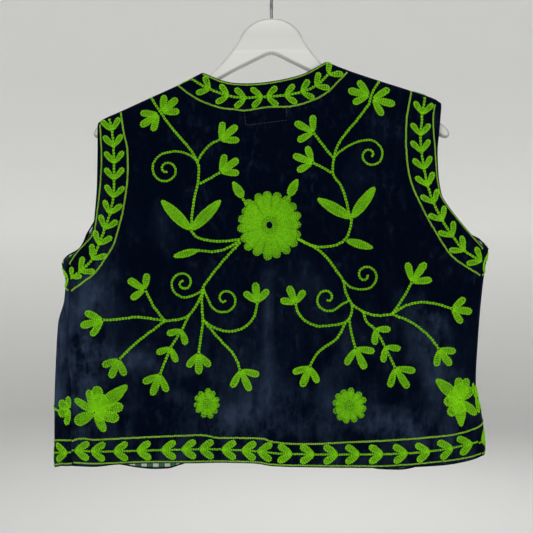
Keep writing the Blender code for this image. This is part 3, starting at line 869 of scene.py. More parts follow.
# Chain stitch: width and length of a stitch, distance between filling rows, shortest row that is worked,
# how far size, place and tint differ from stitch to stitch as shares, then widths of rows by their use
ROW = 2.4
STITCH = 2.7
ROW_STEP = 2.1
SHORTEST_ROW = 0.4
SIZE_SPREAD = 0.06
SWAY = 0.05
TINT_SPREAD = 0.12
STEM_ROW = 3.3
BORDER_ROW = 2.3
EDGE_ROW = 1.9
HEM_STEM_ROW = 2.5
CURL_ROW = 0.88 * STEM_ROW
UNDER_ROW = 1.9
SEED = 7

# Half of one chain stitch, by station: share of its length, share of the row's width, height, thickness
STRAND = (
    (-0.12, 0.05, 0.45, 0.0),
    (0.28, 0.22, 0.62, 0.50),
    (0.72, 0.29, 0.58, 0.52),
    (1.10, 0.10, 0.30, 0.0),
)

# Leaf pairs of the bands and vines: length, width and angle from the stem, then the leaves of a trefoil
BAND_LEAF = (19.0, 7.3, 38)
NECK_LEAF = (18.3, 7.8, 42)
HEM_LEAF = (20.0, 8.8, 31)
VINE_PAIR = (19.0, 8.4, 46)
TREFOIL_WIDTH = 9.4
SIDE_LEAF_SHARE = 0.85
SIDE_LEAF_WIDTH = 0.94 * TREFOIL_WIDTH

# Bands of the back: stems, distances of the leaf pairs along them, border lines, insets of the edge lines
NECK_STEM_LEFT = (
    (-10, -166), (-33, -167.5), (-52, -165), (-62.5, -161.5), (-73, -157.5), (-84.5, -151.5), (-97, -144),
)
NECK_STEM_RIGHT = ((-10, -166.5), (15, -164.5), (35, -160.5), (53, -153), (71, -136.5))
NECK_STOPS_LEFT = (1, 21, 42, 66)
NECK_STOPS_RIGHT = (4, 26, 46, 65, 86.2)
NECK_LINE = (
    (-113, -151.5), (-104, -159), (-89, -169), (-74, -175.5), (-59, -180), (-44, -181.5), (-34, -183),
    (-20, -181), (-3, -178.5), (22, -178), (44, -172.5), (65.5, -162), (81.5, -146), (91.5, -136),
)
ARM_STEM_LEFT = (
    (-240, -384.5), (-228, -376), (-213, -361), (-205.5, -344), (-198.5, -325), (-193, -307),
    (-189, -285), (-189, -250), (-190, -228), (-192.5, -205), (-196, -192),
)
ARM_STEM_RIGHT = (
    (251, -364.5), (230, -352), (216, -335), (203.5, -316), (193.5, -295.5), (186.5, -274.5),
    (182.5, -254), (180, -233.5), (179, -213), (181.5, -187), (185, -166),
)
ARM_STOPS_LEFT = (14, 35, 54, 74, 93, 113, 134.5, 154.5, 174.5, 194.5)
ARM_STOPS_RIGHT = (1, 25, 47, 69.5, 92.5, 114.5, 135, 156, 176.5, 202.5)
ARM_LINE_LEFT = (
    (-182, -184), (-178, -209), (-174, -226), (-172.5, -250), (-173.5, -276), (-177.5, -304),
    (-182, -323), (-188, -344), (-198, -360.5), (-209.5, -377), (-224, -388.5), (-239, -399.5),
)
ARM_LINE_RIGHT = (
    (169, -158), (163, -190), (161.5, -220), (163, -249.5), (168, -273.5), (180, -301),
    (194, -327), (215.5, -358.5), (249, -381),
)
SHOULDER_LINES = (((-98, -144), (-106, -147.8), (-113, -151.5)), ((172, -158.5), (180, -160.5), (187, -163)))
HEM_STEM_LEFT = ((-238, -589), (-198, -590.5), (-138, -589), (-79, -588), (-19, -590), (4, -592.5))
HEM_STEM_RIGHT = ((246, -579), (205, -588), (165, -592.5), (105, -594), (34, -593.5), (4, -592.5))
HEM_STOPS_LEFT = (3.8, 23, 50, 77.5, 107, 131, 152, 178.5, 202.5, 221.5)
HEM_STOPS_RIGHT = (7.4, 31, 58.5, 85.5, 114.5, 142.5, 168.5, 196.5, 223)
HEM_LINE = (
    (-238, -577.5), (-225, -575), (-213, -576.5), (-198, -576), (-138, -573), (-99, -571.5), (-79, -571.5),
    (-63, -574.5), (-13, -575), (1, -579), (36, -581.5), (95, -579.5), (145, -577), (194, -573.5),
    (224, -569), (246, -562),
)
HEM_INSETS = (
    (-237, 4.4), (-205, 3.8), (-185, 2.4), (-20, 2.2), (60, 2.4), (130, 2.6), (165, 3.6),
    (205, 5.2), (251, 4.0),
)
NECK_INSET = 2.0
ARM_INSETS = {
    "left": ((-368, 2.2), (-330, 2.8), (-300, 3.6), (-245, 5.6), (-195, 3.4)),
    "right": ((-350, 2.2), (-300, 2.4), (-260, 2.8), (-232, 3.4), (-212, 7), (-188, 9.5), (-170, 8)),
}
UNDERARM_PAIR = (-238.5, -383.5, 48, (13.5, 6.6, 40))
AIM_REACH = 5.0
LINE_INSET = 3.0

# Vines of the back. Stems: places from root to end
VINE_STEMS_LEFT = (
    ((-146, -166), (-132, -187), (-118, -206), (-99, -228), (-90, -243), (-87, -252), (-88, -271),
     (-92, -289), (-95, -311), (-96, -326)),
    ((-89, -245), (-79, -230), (-71, -223), (-61, -218)),
    ((-86, -272), (-73, -265), (-61, -258)),
    ((-96, -327), (-90, -335), (-77, -339), (-59, -340.5), (-37.5, -338)),
    ((-38, -340), (-53, -348.5), (-69, -352.5), (-88, -351)),
    ((-37, -341), (-59, -365), (-79, -391), (-82, -397)),
    ((-81, -397), (-87, -412), (-98, -428), (-111, -433.5), (-127, -435)),
    ((-127, -435), (-140, -418), (-150, -399)),
    ((-127, -435), (-158, -430.5), (-182, -433), (-201, -434)),
    ((-127, -435), (-152, -454), (-168, -467.5), (-181, -481)),
    ((-98, -428), (-107, -446), (-120, -467), (-133, -499)),
    ((-81, -397), (-83, -408), (-82, -434), (-84, -454), (-87, -474)),
    ((-82, -434), (-67, -444), (-49, -447.5), (-33, -443), (-21, -430), (-17, -413)),
    ((-82, -434), (-61, -458), (-45, -475.5), (-37, -494)),
    ((-30, -297), (-34.5, -289)),
)
VINE_STEMS_RIGHT = (
    ((130, -147), (123, -158), (119, -167), (117, -175), (103, -194), (85, -216), (76, -234), (73, -259),
     (81, -271.5), (87.5, -287), (92, -307), (95, -312), (93, -327), (86, -340),
     (71, -346), (52, -346.5), (30, -337)),
    ((73.5, -241), (62, -226), (50, -210)),
    ((71.5, -259), (60, -252), (49, -246.5)),
    ((31, -338), (54, -349.5), (67.5, -362), (79, -378), (85, -387), (88.5, -402), (96, -416)),
    ((96, -416), (109, -424), (125, -428.5), (143, -427)),
    ((143, -427), (155, -410), (167, -389)),
    ((143, -427), (159, -417), (177, -413), (197, -415), (215, -421)),
    ((143, -427), (165, -436), (183, -449), (193, -460), (199, -469)),
    ((109, -424), (113, -436), (123, -445), (135, -466), (147, -491)),
    ((96, -416), (95, -426), (89, -436), (73.5, -440), (53.5, -441), (39, -434), (31, -424), (28.5, -414)),
    ((92, -431), (95, -450), (100, -468)),
    ((88, -437), (77.5, -456), (60, -468), (50, -479.5), (45.5, -489.5)),
    ((19.5, -290), (21.5, -286)),
)

# Trefoils: place x and z, direction, angle to the side leaves, length of the middle leaf
TREFOILS_LEFT = (
    (-132, -184.5, 42, 40, 25.5), (-136.5, -187, 214, 38, 26), (-61, -219, 42, 42, 27),
    (-61, -258, 37, 39, 27), (-151, -398, 148, 66, 24), (-201, -434, 195, 39, 28),
    (-182, -481, 246, 46, 24.5), (-133, -499, 249, 44, 27), (-87, -474, 271, 41, 25),
    (-17, -413, 96, 47, 24), (-37, -494, 295, 52, 27.5),
)
TREFOILS_RIGHT = (
    (117.5, -164, 167, 40, 26.5), (122, -168.5, -14, 46, 28), (50, -210, 150, 58, 26),
    (49, -246.5, 159, 50, 25.5), (167, -389, 55, 48, 29), (215, -421, -8, 48, 24.5),
    (199, -469, -53, 46, 24.5), (147, -491, -57, 49, 29),
    (100, -468, -65, 57, 27.5), (28.5, -414, 112, 57, 22.5), (45.5, -489.5, 248, 49, 26),
)

# Leaf pairs on the hanging branches: place x and z, direction
PAIRS_LEFT = ((-107, -446, 240), (-120, -467, 246))
PAIRS_RIGHT = ((123, -445, -45), (135, -466, -52))

# Curls: inner radius, how fast they tighten, and points of the drawn line
CURL_END = 2.2
CURL_PACE = 0.85
CURL_STEPS = 40
LEAD_STEPS = 6

# Where they leave the stem, then centre x and z, radius, start angle and turn in degrees
CURLS_LEFT = (
    (((-90, -243), (-99, -236.5), (-112, -232.5)), (-125.5, -254.5, 21, 88, 570)),
    (((-82, -398), (-91, -404)), (-105, -390, 17.5, -80, -560)),
    (((-81, -397), (-77.5, -406)), (-55.5, -409, 20, 180, 490)),
)
CURLS_RIGHT = (
    (((74, -241), (83.5, -231.5), (99, -222.5)), (118, -237, 19, 100, -520)),
    (((85, -387), (95, -395.5)), (111.5, -381, 17, 262, 480)),
    (((93, -410), (87, -414)), (66, -408, 18.5, -22, -450)),
)

# Single leaves: place x and z, direction, length, width, shape
LEAVES_LEFT = (
    (-96, -327, 135, 51, 14, "pointed"), (-96, -327, 45, 51, 14, "pointed"),
    (-87, -351, 194, 32, 9, "pointed"), (-34, -289, 122, 24, 11.5, "bud"),
)
LEAVES_RIGHT = (
    (95, -313, 150, 48, 13.5, "pointed"), (95, -313, 53, 48, 13.5, "pointed"),
    (88, -339, -16, 35, 10.5, "pointed"), (20.5, -287, 64, 24, 11.5, "bud"),
    (240, -509, -76, 20, 6, "petal"), (244, -526, -78, 21, 6, "petal"),
)

# Corner flowers: direction, length, width, shape of each petal or leaf, from the flower's base
CORNER_LEFT_BASE = (-210.5, -544)
CORNER_LEFT = (
    (62, 25, 19, "blunt"), (-40, 14, 13, "blunt"),
    (13, 35, 12.5, "blunt"), (-15, 30, 13.5, "blunt"), (40, 51.5, 16.5, "pointed"), (83, 32, 14.5, "blunt"),
    (106, 28.5, 9.5, "blunt"), (146, 29.5, 9.5, "petal"), (208, 27, 14.5, "blunt"), (-62, 26.5, 11, "petal"),
)
CORNER_RIGHT_BASE = (224, -529)
CORNER_RIGHT = (
    (85, 20, 20, "blunt"), (150, 16, 16, "blunt"), (262, 17, 17, "blunt"),
    (139, 38.5, 14.5, "pointed"), (93, 27, 11, "blunt"), (70, 27.5, 10, "blunt"), (42, 21, 13, "blunt"),
    (188, 19.5, 14, "blunt"), (237, 23, 13, "blunt"), (273, 33.5, 13.5, "bud"), (-41, 28, 10.5, "petal"),
)

# Round flowers: node, centre x and z, radius, petals, first petal's angle,
# share of the radius where petals part, inner radius, hole, height by width
FLOWERS = (
    ("flower_centre", -2.5, -321.0, 40.3, 19, 94, 0.82, 9.8, 3.4, 1.08),
    ("rosette_left", -77.0, -533.5, 17.2, 11, 89, 0.66, 4.5, -1.0, 1.18),
    ("rosette_right", 92.5, -536.0, 21.6, 12, 81, 0.68, 5.5, -0.6, 1.0),
)

# Points of a ring, share of the flower's girth that the petals fill, how far their angle and length differ
RING_STEPS = 49
PETAL_FULL = 0.873
PETAL_SWING = 0.12
PETAL_REACH = (0.96, 1.03)

# Embroidery of each front, on the cloth laid out: distance w from the centre front, height z
FRONT_STEMS = (
    ((152, -352), (150, -386), (140, -414), (118, -432), (92, -440)),
    ((150, -386), (162, -420), (182, -444), (208, -458), (236, -462)),
    ((144, -408), (142, -440), (146, -470), (156, -496)),
    ((148, -296), (143, -268), (134, -244), (123, -221), (115, -200)),
    ((141, -264), (143, -246), (141, -226)),
    ((160, -424), (170, -400), (188, -384)),
)
FRONT_TREFOILS = (
    (92, -440, 190, 46, 25), (236, -462, -5, 45, 25), (156, -496, -68, 48, 26),
    (115, -200, 103, 40, 23), (141, -226, 84, 42, 23), (188, -384, 40, 48, 24),
)
FRONT_PAIRS = ((130, -424, 205), (152, -484, -72))
FRONT_CURLS = (
    (((118, -432), (108, -418)), (96, -402, 17, -40, 470)),
    (((182, -444), (192, -436)), (214, -426, 17, 200, -480)),
    (((134, -252), (122, -250)), (104, -262, 17, 50, 520)),
)
FRONT_LEAVES = (
    (150, -386, 140, 42, 12, "pointed"), (151, -380, 48, 42, 12, "pointed"),
    (143, -276, 58, 22, 8.5, "pointed"),
)
FRONT_FLOWERS = (
    (152, -322, 28, 14, 90, 0.78, 10.0, 3.0, 1.0), (92, -530, 17, 11, 80, 0.66, 4.5, -1.0, 1.0),
    (190, -533, 19, 11, 60, 0.66, 5.0, -1.0, 1.0),
)

# Bands of the fronts: distances of stems and border lines from the edges, bare end of a stem,
# foot of the V neck, a place inside both fronts, leaves and trefoil at the side seam
FRONT_STEM_INSET = 16.5
FRONT_LINE_INSET = 32.0
FRONT_HEM_INSET = {"left": 31.0, "right": 35.0}
FRONT_BAND_END = 9.0
FRONT_NECK_FOOT = -244.0
FRONT_MIDDLE = (150.0, -400.0)
SEAM_PAIR = (15.5, 6.6, 52)
SEAM_TREFOIL = (180, 44, 18)

# Flower that crosses a side seam, as seen from behind: height of its base, petals as for the corners
SEAM_FLOWER_Z = {"left": -540, "right": -528}
SEAM_FLOWER = (
    (98, 16, 7, "blunt"), (150, 17, 12, "blunt"), (204, 17, 12, "blunt"), (258, 20, 8, "blunt"),
)

# Stitched outline of the label inside: its corners, then length of a stitch, gap and width
LABEL_BOX = ((-33, -182), (18, -179), (18.5, -194.5), (-31, -201))
RUNNING = (2.6, 1.5, 0.7)


class Surface:
    """The outside of the cloth as a map from flat places to points and outward normals."""

    def __init__(self, point_at, outward):
        self.point_at = point_at
        self.outward = outward

    def frame(self, places):
        x, z = places[..., 0], places[..., 1]
        across = self.point_at(x + PLACE_STEP, z) - self.point_at(x - PLACE_STEP, z)
        up = self.point_at(x, z + PLACE_STEP) - self.point_at(x, z - PLACE_STEP)
        points = self.point_at(x, z)
        return points, outward_normals(across, up, self.outward(points))


def strand_template():
    """Corner shares and faces of one chain stitch: two mirrored strands, pointed at both ends."""
    corners, faces = [], []
    for hand in (1, -1):
        first = len(corners)
        for share, across, height, thick in STRAND:
            ring = ((1, 0), (0, 1), (-1, 0), (0, -1)) if thick else ((0, 0),)
            for aside, above in ring:
                corners.append((share, hand * (across + aside * thick / ROW), height + above * thick * 0.9))
        ends = (first, first + 9)
        rings = (first + 1, first + 5)
        for i in range(4):
            j = (i + 1) % 4
            made = [
                (ends[0], rings[0] + j, rings[0] + i),
                (rings[0] + i, rings[0] + j, rings[1] + j),
                (rings[0] + i, rings[1] + j, rings[1] + i),
                (rings[1] + i, rings[1] + j, ends[1]),
            ]
            faces += made if hand == 1 else [tuple(reversed(face)) for face in made]
    return np.array(corners), np.array(faces)


def in_plane(x, z):
    """Places on the cloth, one a row, from their two distances."""
    return np.stack(np.broadcast_arrays(x, z), axis=-1)


def distances(path):
    """How far along a path each of its places lies."""
    return np.concatenate(([0.0], np.cumsum(np.linalg.norm(np.diff(path, axis=0), axis=1))))


def place_along(path, reach, stop):
    return in_plane(*(np.interp(stop, reach, path[:, axis]) for axis in (0, 1)))


class Stitches:
    """Rows of chain stitch on one surface, gathered and then made into one mesh."""

    def __init__(self, surface):
        self.surface = surface
        self.rows = []

    def chain(self, path, width=ROW, tint=0.0):
        """One row of stitches along a path of places."""
        path = np.asarray(path, float)
        reach = distances(path)
        if reach[-1] < SHORTEST_ROW:
            return
        count = max(round(reach[-1] / (STITCH * width / ROW)), 1)
        places = place_along(path, reach, np.linspace(0.0, reach[-1], count + 1))
        self.rows.append((places[:-1], places[1:], np.full(count, float(width)), np.full(count, float(tint))))

    def line(self, points, width=BORDER_ROW, tint=0.0):
        self.chain(spline_through(points, 8), width, tint)

    def build(self, name, material, rng):
        starts, ends, widths, tints = (np.concatenate(part) for part in zip(*self.rows))
        first = self.surface.frame(starts)[0]
        last = self.surface.frame(ends)[0]
        normals = self.surface.frame((starts + ends) / 2)[1]
        along = last - first
        aside = unit(np.cross(normals, along))
        up = unit(np.cross(along, aside))
        template, faces = strand_template()
        count = len(starts)
        sizes = widths * rng.uniform(1 - SIZE_SPREAD, 1 + SIZE_SPREAD, count)
        sway = rng.normal(0.0, SWAY, (count, 1)) * widths[:, None]
        shares, across, heights = template.T
        vertices = (
            first[:, None] + along[:, None] * shares[:, None]
            + aside[:, None] * (across * sizes[:, None] + sway)[..., None]
            + up[:, None] * (heights * sizes[:, None] / ROW)[..., None]
        )
        corners = faces[None] + len(template) * np.arange(count)[:, None, None]
        data = mesh_from(name, vertices.reshape(-1, 3), corners.reshape(-1, 3).tolist())
        shade = data.attributes.new("tint", "FLOAT", "POINT")
        values = np.repeat(tints + rng.uniform(-TINT_SPREAD, TINT_SPREAD, count), len(template))
        shade.data.foreach_set("value", values.astype(np.float32))
        return add_piece(name, data, material)


def round_end(way):
    """Half width of a rounded end, as the way through it goes from 0 to 1."""
    return np.sqrt(np.clip(1 - way ** 2, 0.0, 1.0))


def blunt_profile(share, round_share):
    grown = 0.45 + 0.55 * smooth_step(share / 0.6)
    heel = round_end(1 - np.minimum(share / 0.1, 1.0))
    return grown * heel * round_end(np.maximum(share - 1 + round_share, 0.0) / round_share)


def almond_profile(lean, full):
    """A shape with two points, whose widest place and fullness are set."""
    return lambda share, _round_share: np.sin(pi * np.clip(share, 0.0, 1.0) ** lean) ** full


def petal_profile(share, round_share):
    """Between a leaf and a petal: a narrow root, the widest part past the middle, a blunt tip."""
    heel = np.sin(pi / 2 * np.clip(share / PETAL_WIDEST, 0.0, 1.0)) ** 0.8
    reach = np.clip((share - PETAL_WIDEST) / (1 - PETAL_WIDEST), 0.0, 1.0)
    tip = round_end(np.maximum(reach - PETAL_WIDEST, 0.0) / (1 - PETAL_WIDEST))
    return heel * (1 - 0.35 * reach ** 2) * tip


def wedge_profile(share, round_share):
    grown = np.clip(0.28 + 0.8 * share, 0.0, 1.0)
    return grown * round_end(np.maximum(share - 1 + round_share, 0.0) / round_share)


PETAL_WIDEST = 0.55
PROFILES = {
    "blunt": blunt_profile, "pointed": almond_profile(0.9, 0.66), "petal": petal_profile,
    "bud": almond_profile(0.72, 0.8), "wedge": wedge_profile,
}
LEAF_STEPS = 22

# How much lighter or darker than the yarn itself: outer and inner rows of leaves, petals, middles of flowers
RIM_TINT = 0.16
FILL_TINT = -0.07
PETAL_TINT = -0.2
DISC_TINT = -0.14


def leaf(stitches, x, z, angle, length, width, shape="blunt", rim=RIM_TINT):
    """A leaf or petal filled with rows one inside another, the outer row a little lighter."""
    forward = np.array((np.cos(radians(angle)), np.sin(radians(angle))))
    aside = np.array((-forward[1], forward[0]))
    share = (1 - np.cos(np.linspace(0, pi, LEAF_STEPS))) / 2
    profile = PROFILES[shape](share, width / 2 / length)[:, None]
    inset = ROW / 2
    tint = rim
    while width / 2 - inset > ROW_STEP / 3 and length > 2 * inset:
        middle = (x, z) + forward * (inset + share[:, None] * (length - 2 * inset))
        edge = aside * profile * (width / 2 - inset)
        stitches.chain(np.concatenate((middle - edge, (middle + edge)[::-1])), tint=tint)
        inset += ROW_STEP
        tint = FILL_TINT
    if width / 2 - inset > -ROW / 3 and length > 2 * inset:
        stitches.chain(((x, z) + forward * inset, (x, z) + forward * (length - inset)), tint=FILL_TINT)


def leaf_pair(stitches, x, z, direction, size):
    length, width, spread = size
    for angle in (direction - spread, direction + spread):
        leaf(stitches, x, z, angle, length, width)


def trefoil(stitches, x, z, direction, spread, length):
    leaf(stitches, x, z, direction, length, TREFOIL_WIDTH)
    leaf_pair(stitches, x, z, direction, (length * SIDE_LEAF_SHARE, SIDE_LEAF_WIDTH, spread))


def curl(stitches, lead, centre_x, centre_z, radius, start, turn):
    """A stem that rolls up into a spiral."""
    share = np.linspace(0, 1, CURL_STEPS)
    angles = np.radians(start + turn * share)
    radii = lerp(radius, CURL_END, share ** CURL_PACE)
    rolled = in_plane(centre_x + radii * np.cos(angles), centre_z + radii * np.sin(angles))
    way_in = spline_through(np.concatenate((lead, rolled[:2])), LEAD_STEPS)
    stitches.chain(np.concatenate((way_in[:-LEAD_STEPS], rolled)), CURL_ROW)


def flower(stitches, x, z, radius, petals, first, join, inner, hole, tall, rng):
    """A round flower: petals worked as loops, and rings of stitches round the small open centre."""
    width = 2 * pi * radius * PETAL_FULL / petals
    turns = np.linspace(0, 2 * pi, RING_STEPS)

    def stretch(turn):
        return 1 + (tall - 1) * (np.sin(turn) ** 2 - 0.5)

    def ring(size, row, tint):
        reach = size * stretch(turns)
        stitches.chain(in_plane(x + reach * np.cos(turns), z + reach * np.sin(turns)), row, tint)

    for size in np.arange(radius * join, inner + ROW_STEP, -ROW_STEP):
        ring(size, UNDER_ROW, FILL_TINT)
    for number in range(petals):
        angle = first + 360 / petals * (number + rng.uniform(-PETAL_SWING, PETAL_SWING))
        heading = radians(angle)
        reach = radius * stretch(heading) * rng.uniform(*PETAL_REACH) - inner
        root = (x + inner * np.cos(heading), z + inner * np.sin(heading))
        leaf(stitches, *root, angle, reach, width, "wedge", PETAL_TINT)
    for size in np.arange(inner + ROW_STEP * 0.8, hole + ROW / 2, -ROW_STEP):
        ring(size, ROW, DISC_TINT)


def band(stitches, stem, stops, size):
    """A stem with leaf pairs at some distances along it, which point along it."""
    route = spline_through(stem, 10)
    stitches.chain(route, HEM_STEM_ROW if size is HEM_LEAF else STEM_ROW)
    reach = distances(route)
    for stop in stops:
        along = place_along(route, reach, stop + AIM_REACH) - place_along(route, reach, stop - AIM_REACH)
        direction = np.degrees(np.arctan2(along[1], along[0]))
        leaf_pair(stitches, *place_along(route, reach, stop), direction, size)


def inset_line(edge, distance):
    """A line at a distance from an edge of a front, towards its middle."""
    along = unit(np.gradient(edge, axis=0))
    across = in_plane(-along[:, 1], along[:, 0])
    hand = np.sign(np.sum(across * (FRONT_MIDDLE - edge), axis=1).mean())
    return edge + across * hand * distance


def vine(stitches, stems, trefoils, pairs, curls, leaves):
    for stem in stems:
        stitches.line(stem, STEM_ROW)
    for row in trefoils:
        trefoil(stitches, *row)
    for x, z, direction in pairs:
        leaf_pair(stitches, x, z, direction, VINE_PAIR)
    for lead, roll in curls:
        curl(stitches, lead, *roll)
    for row in leaves:
        leaf(stitches, *row)


def stitch_back(thread, border, rng):
    surface = Surface(back_point, back_outward)
    parts = (
        ("left", VINE_STEMS_LEFT, TREFOILS_LEFT, PAIRS_LEFT, CURLS_LEFT, LEAVES_LEFT),
        ("right", VINE_STEMS_RIGHT, TREFOILS_RIGHT, PAIRS_RIGHT, CURLS_RIGHT, LEAVES_RIGHT),
    )
    for label, *tables in parts:
        work = Stitches(surface)
        vine(work, *tables)
        work.build("stitch_vine_" + label, thread, rng)
    corners = (("left", CORNER_LEFT_BASE, CORNER_LEFT), ("right", CORNER_RIGHT_BASE, CORNER_RIGHT))
    for label, (x, z), petals in corners:
        work = Stitches(surface)
        for petal in petals:
            leaf(work, x, z, *petal)
        work.build("stitch_corner_" + label, thread, rng)
    for node, *shape in FLOWERS:
        work = Stitches(surface)
        flower(work, *shape, rng)
        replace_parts(work.build("stitch_" + node, thread, rng), node)
    bands = Stitches(surface)
    band(bands, NECK_STEM_LEFT, NECK_STOPS_LEFT, NECK_LEAF)
    band(bands, NECK_STEM_RIGHT, NECK_STOPS_RIGHT, NECK_LEAF)
    bands.build("stitch_neck_band", thread, rng)
    bands = Stitches(surface)
    band(bands, ARM_STEM_LEFT, ARM_STOPS_LEFT, BAND_LEAF)
    leaf_pair(bands, *UNDERARM_PAIR)
    band(bands, ARM_STEM_RIGHT, ARM_STOPS_RIGHT, BAND_LEAF)
    bands.build("stitch_arm_bands", thread, rng)
    bands = Stitches(surface)
    band(bands, HEM_STEM_LEFT, HEM_STOPS_LEFT, HEM_LEAF)
    band(bands, HEM_STEM_RIGHT, HEM_STOPS_RIGHT, HEM_LEAF)
    bands.build("stitch_hem_band", thread, rng)
    lines = Stitches(surface)
    for points in (NECK_LINE, ARM_LINE_LEFT, ARM_LINE_RIGHT, HEM_LINE, *SHOULDER_LINES):
        lines.line(points)
    x = np.linspace(3 - LEFT.neck_x, RIGHT.neck_x - 3, 40)
    lines.chain(in_plane(x, NECK(x) - NECK_INSET), EDGE_ROW)
    x = np.linspace(1 - LEFT.hem_x, RIGHT.hem_x - 1, 80)
    lines.chain(in_plane(x, HEM(x) + smooth_table(HEM_INSETS)(x)), EDGE_ROW)
    for side in (LEFT, RIGHT):
        z = np.linspace(side.tip_z - 4, side.underarm_z - 1, 50)
        inset = smooth_table(ARM_INSETS[side.name])(z)
        lines.chain(in_plane(side.sign * (side.arm(z) - inset), z), EDGE_ROW)
    lines.build("stitch_back_lines", border, rng)


def at_seam(side, z):
    """The place of a front just inside its side seam."""
    return seam_w(side, z) - 1, z


def stitch_front(side, thread, border, rng):
    """Edge lines, border lines, leaf bands, vine and flowers of one front."""
    surface = Surface(lambda w, z: around(side, w, z), front_outward(side))
    shares = np.linspace(UNDERARM, 1.0, 60)
    arm = in_plane(front_edge_w(side, shares), side.edge_z(shares))
    x = np.linspace(FRONT_HALF_GAP, side.neck_x, 24)
    straight = in_plane(FRONT_HALF_GAP, np.linspace(side.hem_front(FRONT_HALF_GAP), FRONT_NECK_FOOT, 40))
    opening = np.concatenate((straight, in_plane(x, side.neck_front(x))[1:]))
    w = np.linspace(FRONT_HALF_GAP, seam_w(side, side.hem_z) - 1, 90)
    hem = in_plane(w, side.hem_front(w))
    lines = Stitches(surface)
    for edge, start in ((arm, 1), (opening, 1), (hem, 3)):
        lines.chain(inset_line(edge, LINE_INSET)[start:], EDGE_ROW)
    hem_inset = FRONT_HEM_INSET[side.name]
    outer_hem = inset_line(hem, hem_inset)
    outer_opening = inset_line(opening, FRONT_LINE_INSET)
    lines.chain(outer_hem[outer_hem[:, 0] > FRONT_LINE_INSET], BORDER_ROW)
    lines.chain(outer_opening[outer_opening[:, 1] > side.hem_front(30) + hem_inset][::2], BORDER_ROW)
    underarm = at_seam(side, side.underarm_z - FRONT_LINE_INSET)
    lines.chain(np.vstack((underarm, inset_line(arm, FRONT_LINE_INSET)[6::3])), BORDER_ROW)
    lines.build("stitch_lines_front_" + side.name, border, rng)
    bands = Stitches(surface)
    underarm = at_seam(side, side.underarm_z - FRONT_STEM_INSET)
    # Stem, place of the first pair, step, leaves
    plans = (
        (np.vstack((underarm, inset_line(arm, FRONT_STEM_INSET)[6:-2:4])), 18.0, 22.0, BAND_LEAF),
        (inset_line(opening[5::3], FRONT_STEM_INSET)[:-1], 1.0, 22.0, BAND_LEAF),
        (inset_line(hem[::-5], FRONT_STEM_INSET)[:-3], 5.0, 25.0, HEM_LEAF),
    )
    for stem, start, step, size in plans:
        band(bands, stem, np.arange(start, distances(stem)[-1] - FRONT_BAND_END, step), size)
    leaf_pair(bands, *underarm, 180, SEAM_PAIR)
    bands.build("stitch_bands_front_" + side.name, thread, rng)
    work = Stitches(surface)
    vine(work, FRONT_STEMS, FRONT_TREFOILS, FRONT_PAIRS, FRONT_CURLS, FRONT_LEAVES)
    for row in FRONT_FLOWERS:
        flower(work, *row, rng)
    z = SEAM_FLOWER_Z[side.name]
    w = seam_w(side, z) - 2
    for petal in SEAM_FLOWER:
        leaf(work, w, z, *petal)
    work.line(((w - 14, z - 3), (w - 24, z - 1), (w - 36, z)), STEM_ROW)
    trefoil(work, w - 36, z, *SEAM_TREFOIL)
    work.build("stitch_vine_front_" + side.name, thread, rng)


def stitch_label(material, rng):
    """Running stitches that hold a label inside and show as a faint box."""
    corners = np.array((*LABEL_BOX, LABEL_BOX[0]), float)
    length, gap, width = RUNNING
    work = Stitches(Surface(back_point, back_outward))
    for start, end in zip(corners, corners[1:]):
        span = np.linalg.norm(end - start)
        count = int(span // (length + gap))
        for number in range(count):
            low = (number * (length + gap) + gap / 2) / span
            work.chain(lerp(start, end, np.array(((low,), (low + length / span,)))), width)
    work.build("label_running_stitch", material, rng)


# Stage, in metres: height of the floor, radius of its flat part, radius of the bend, height of the wall
FLOOR_Z = -1.25
FLAT_RADIUS = 4.0
BEND_RADIUS = 2.0
WALL_HEIGHT = 7.0
BOWL_STEPS = 96
# Height in metres of the blend, then the floor's grey, the white wall, and a greyer top of the wall that is
# painted shade
GREY_HEIGHT = 2.4
FLOOR_GREY = (0.6, 0.6, 0.585, 1)
WALL_GREY = (0.99, 0.985, 0.965, 1)
TOP_SHADE_GREY = (0.89, 0.885, 0.87, 1)


def build_stage():
    """A wide pale bowl that is floor and backdrop in one, far from the vest on all sides."""
    shader = Shader("pale_floor", 0.95)
    height = shader.add("SeparateXYZ")
    shader.put(height.inputs[0], shader.add("TexCoord").outputs["Object"])
    raised = shader.maths("DIVIDE", shader.maths("SUBTRACT", height.outputs["Z"], FLOOR_Z), GREY_HEIGHT)
    # Grey floor rising to a white wall, then darker again towards the top as painted shade
    shader.finish(Base_Color=shader.ramp(raised, (0.0, FLOOR_GREY), (0.5, WALL_GREY), (1.0, TOP_SHADE_GREY)))
    bend = np.linspace(0.1, pi / 2, 12)
    radii = [*np.linspace(0.0, FLAT_RADIUS, 9)[1:], *(FLAT_RADIUS + BEND_RADIUS * np.sin(bend))]
    heights = [*np.zeros(8), *(BEND_RADIUS * (1 - np.cos(bend))), WALL_HEIGHT]
    radii.append(FLAT_RADIUS + BEND_RADIUS)
    turns = np.linspace(0, 2 * pi, BOWL_STEPS, endpoint=False)
    vertices = [(0, 0, FLOOR_Z)]
    for radius, rise in zip(radii, heights):
        vertices += [(radius * np.cos(turn), radius * np.sin(turn), FLOOR_Z + rise) for turn in turns]
    faces = [(0, 1 + i, 1 + (i + 1) % BOWL_STEPS) for i in range(BOWL_STEPS)]
    for first in range(1, len(vertices) - BOWL_STEPS, BOWL_STEPS):
        for i in range(BOWL_STEPS):
            j = (i + 1) % BOWL_STEPS
            faces.append((first + i, first + BOWL_STEPS + i, first + BOWL_STEPS + j, first + j))
    data = bpy.data.meshes.new("studio_bowl")
    data.from_pydata(vertices, [], faces)
    data.shade_smooth()
    data.materials.append(shader.material)
    bowl = bpy.data.objects.new("studio_bowl", data)
    bpy.context.scene.collection.objects.link(bowl)


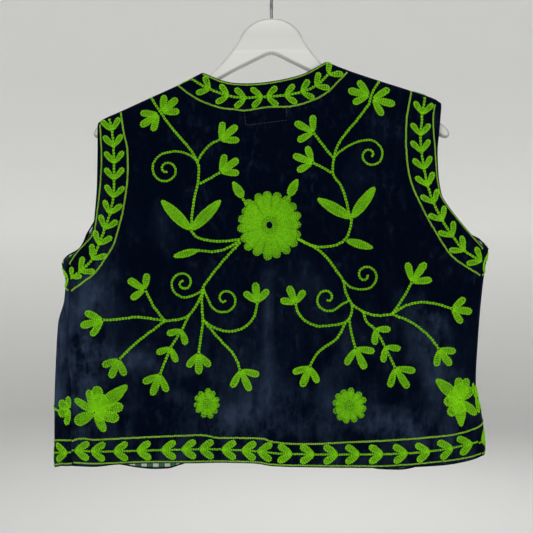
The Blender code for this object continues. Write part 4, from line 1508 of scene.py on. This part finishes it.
# Lights: name, place, size in metres, power in watts, colour
LIGHTS = (
    ("key", (-1.5, -2.4, 0.9), 1.6, 34, (1.0, 0.985, 0.96)),
    ("fill", (1.9, -2.0, -0.1), 1.8, 17, (0.97, 0.98, 1.0)),
    ("back", (0.4, 2.4, 0.9), 1.8, 34, (1.0, 1.0, 1.0)),
)
AIM = (0.0, 0.0, -0.37)
SKY_COLOUR = (0.93, 0.94, 0.95, 1)
SKY_STRENGTH = 0.85


def build_lights():
    world = bpy.data.worlds.new("studio")
    world.use_nodes = True
    sky = world.node_tree.nodes["Background"]
    sky.inputs["Color"].default_value = SKY_COLOUR
    sky.inputs["Strength"].default_value = SKY_STRENGTH
    bpy.context.scene.world = world
    for name, place, size, power, colour in LIGHTS:
        data = bpy.data.lights.new(name, "AREA")
        data.shape = "DISK"
        data.size = size
        data.energy = power
        data.color = colour
        lamp = bpy.data.objects.new(name, data)
        lamp.location = place
        lamp.rotation_euler = (Vector(AIM) - Vector(place)).to_track_quat("-Z", "Y").to_euler()
        bpy.context.scene.collection.objects.link(lamp)


def build_camera():
    """A level camera with the photograph's square frame."""
    data = bpy.data.cameras.new("photo_view")
    data.sensor_width = SENSOR
    data.lens = SENSOR * CAMERA_DISTANCE / (PHOTO_SIZE * PIXEL)
    camera = bpy.data.objects.new("photo_view", data)
    camera.location = (CAMERA_X * MM, -CAMERA_DISTANCE * MM, CAMERA_Z * MM)
    camera.rotation_euler = (radians(90), 0, 0)
    bpy.context.scene.collection.objects.link(camera)
    bpy.context.scene.camera = camera
    bpy.context.scene.view_settings.view_transform = "Standard"


def main():
    build_camera()
    build_lights()
    build_stage()
    velvet, check = velvet_material(), check_material()
    build_back(velvet, check)
    build_front(LEFT, velvet, check)
    build_front(RIGHT, velvet, check)
    build_hanger(paint_material())
    build_hook(steel_material())
    thread = thread_material("green_thread", *GREEN_THREAD)
    border = thread_material("border_thread", *BORDER_THREAD)
    label = thread_material("label_thread", *LABEL_THREAD)
    rng = np.random.default_rng(SEED)
    stitch_back(thread, border, rng)
    stitch_front(LEFT, thread, border, rng)
    stitch_front(RIGHT, thread, border, rng)
    stitch_label(label, rng)


main()
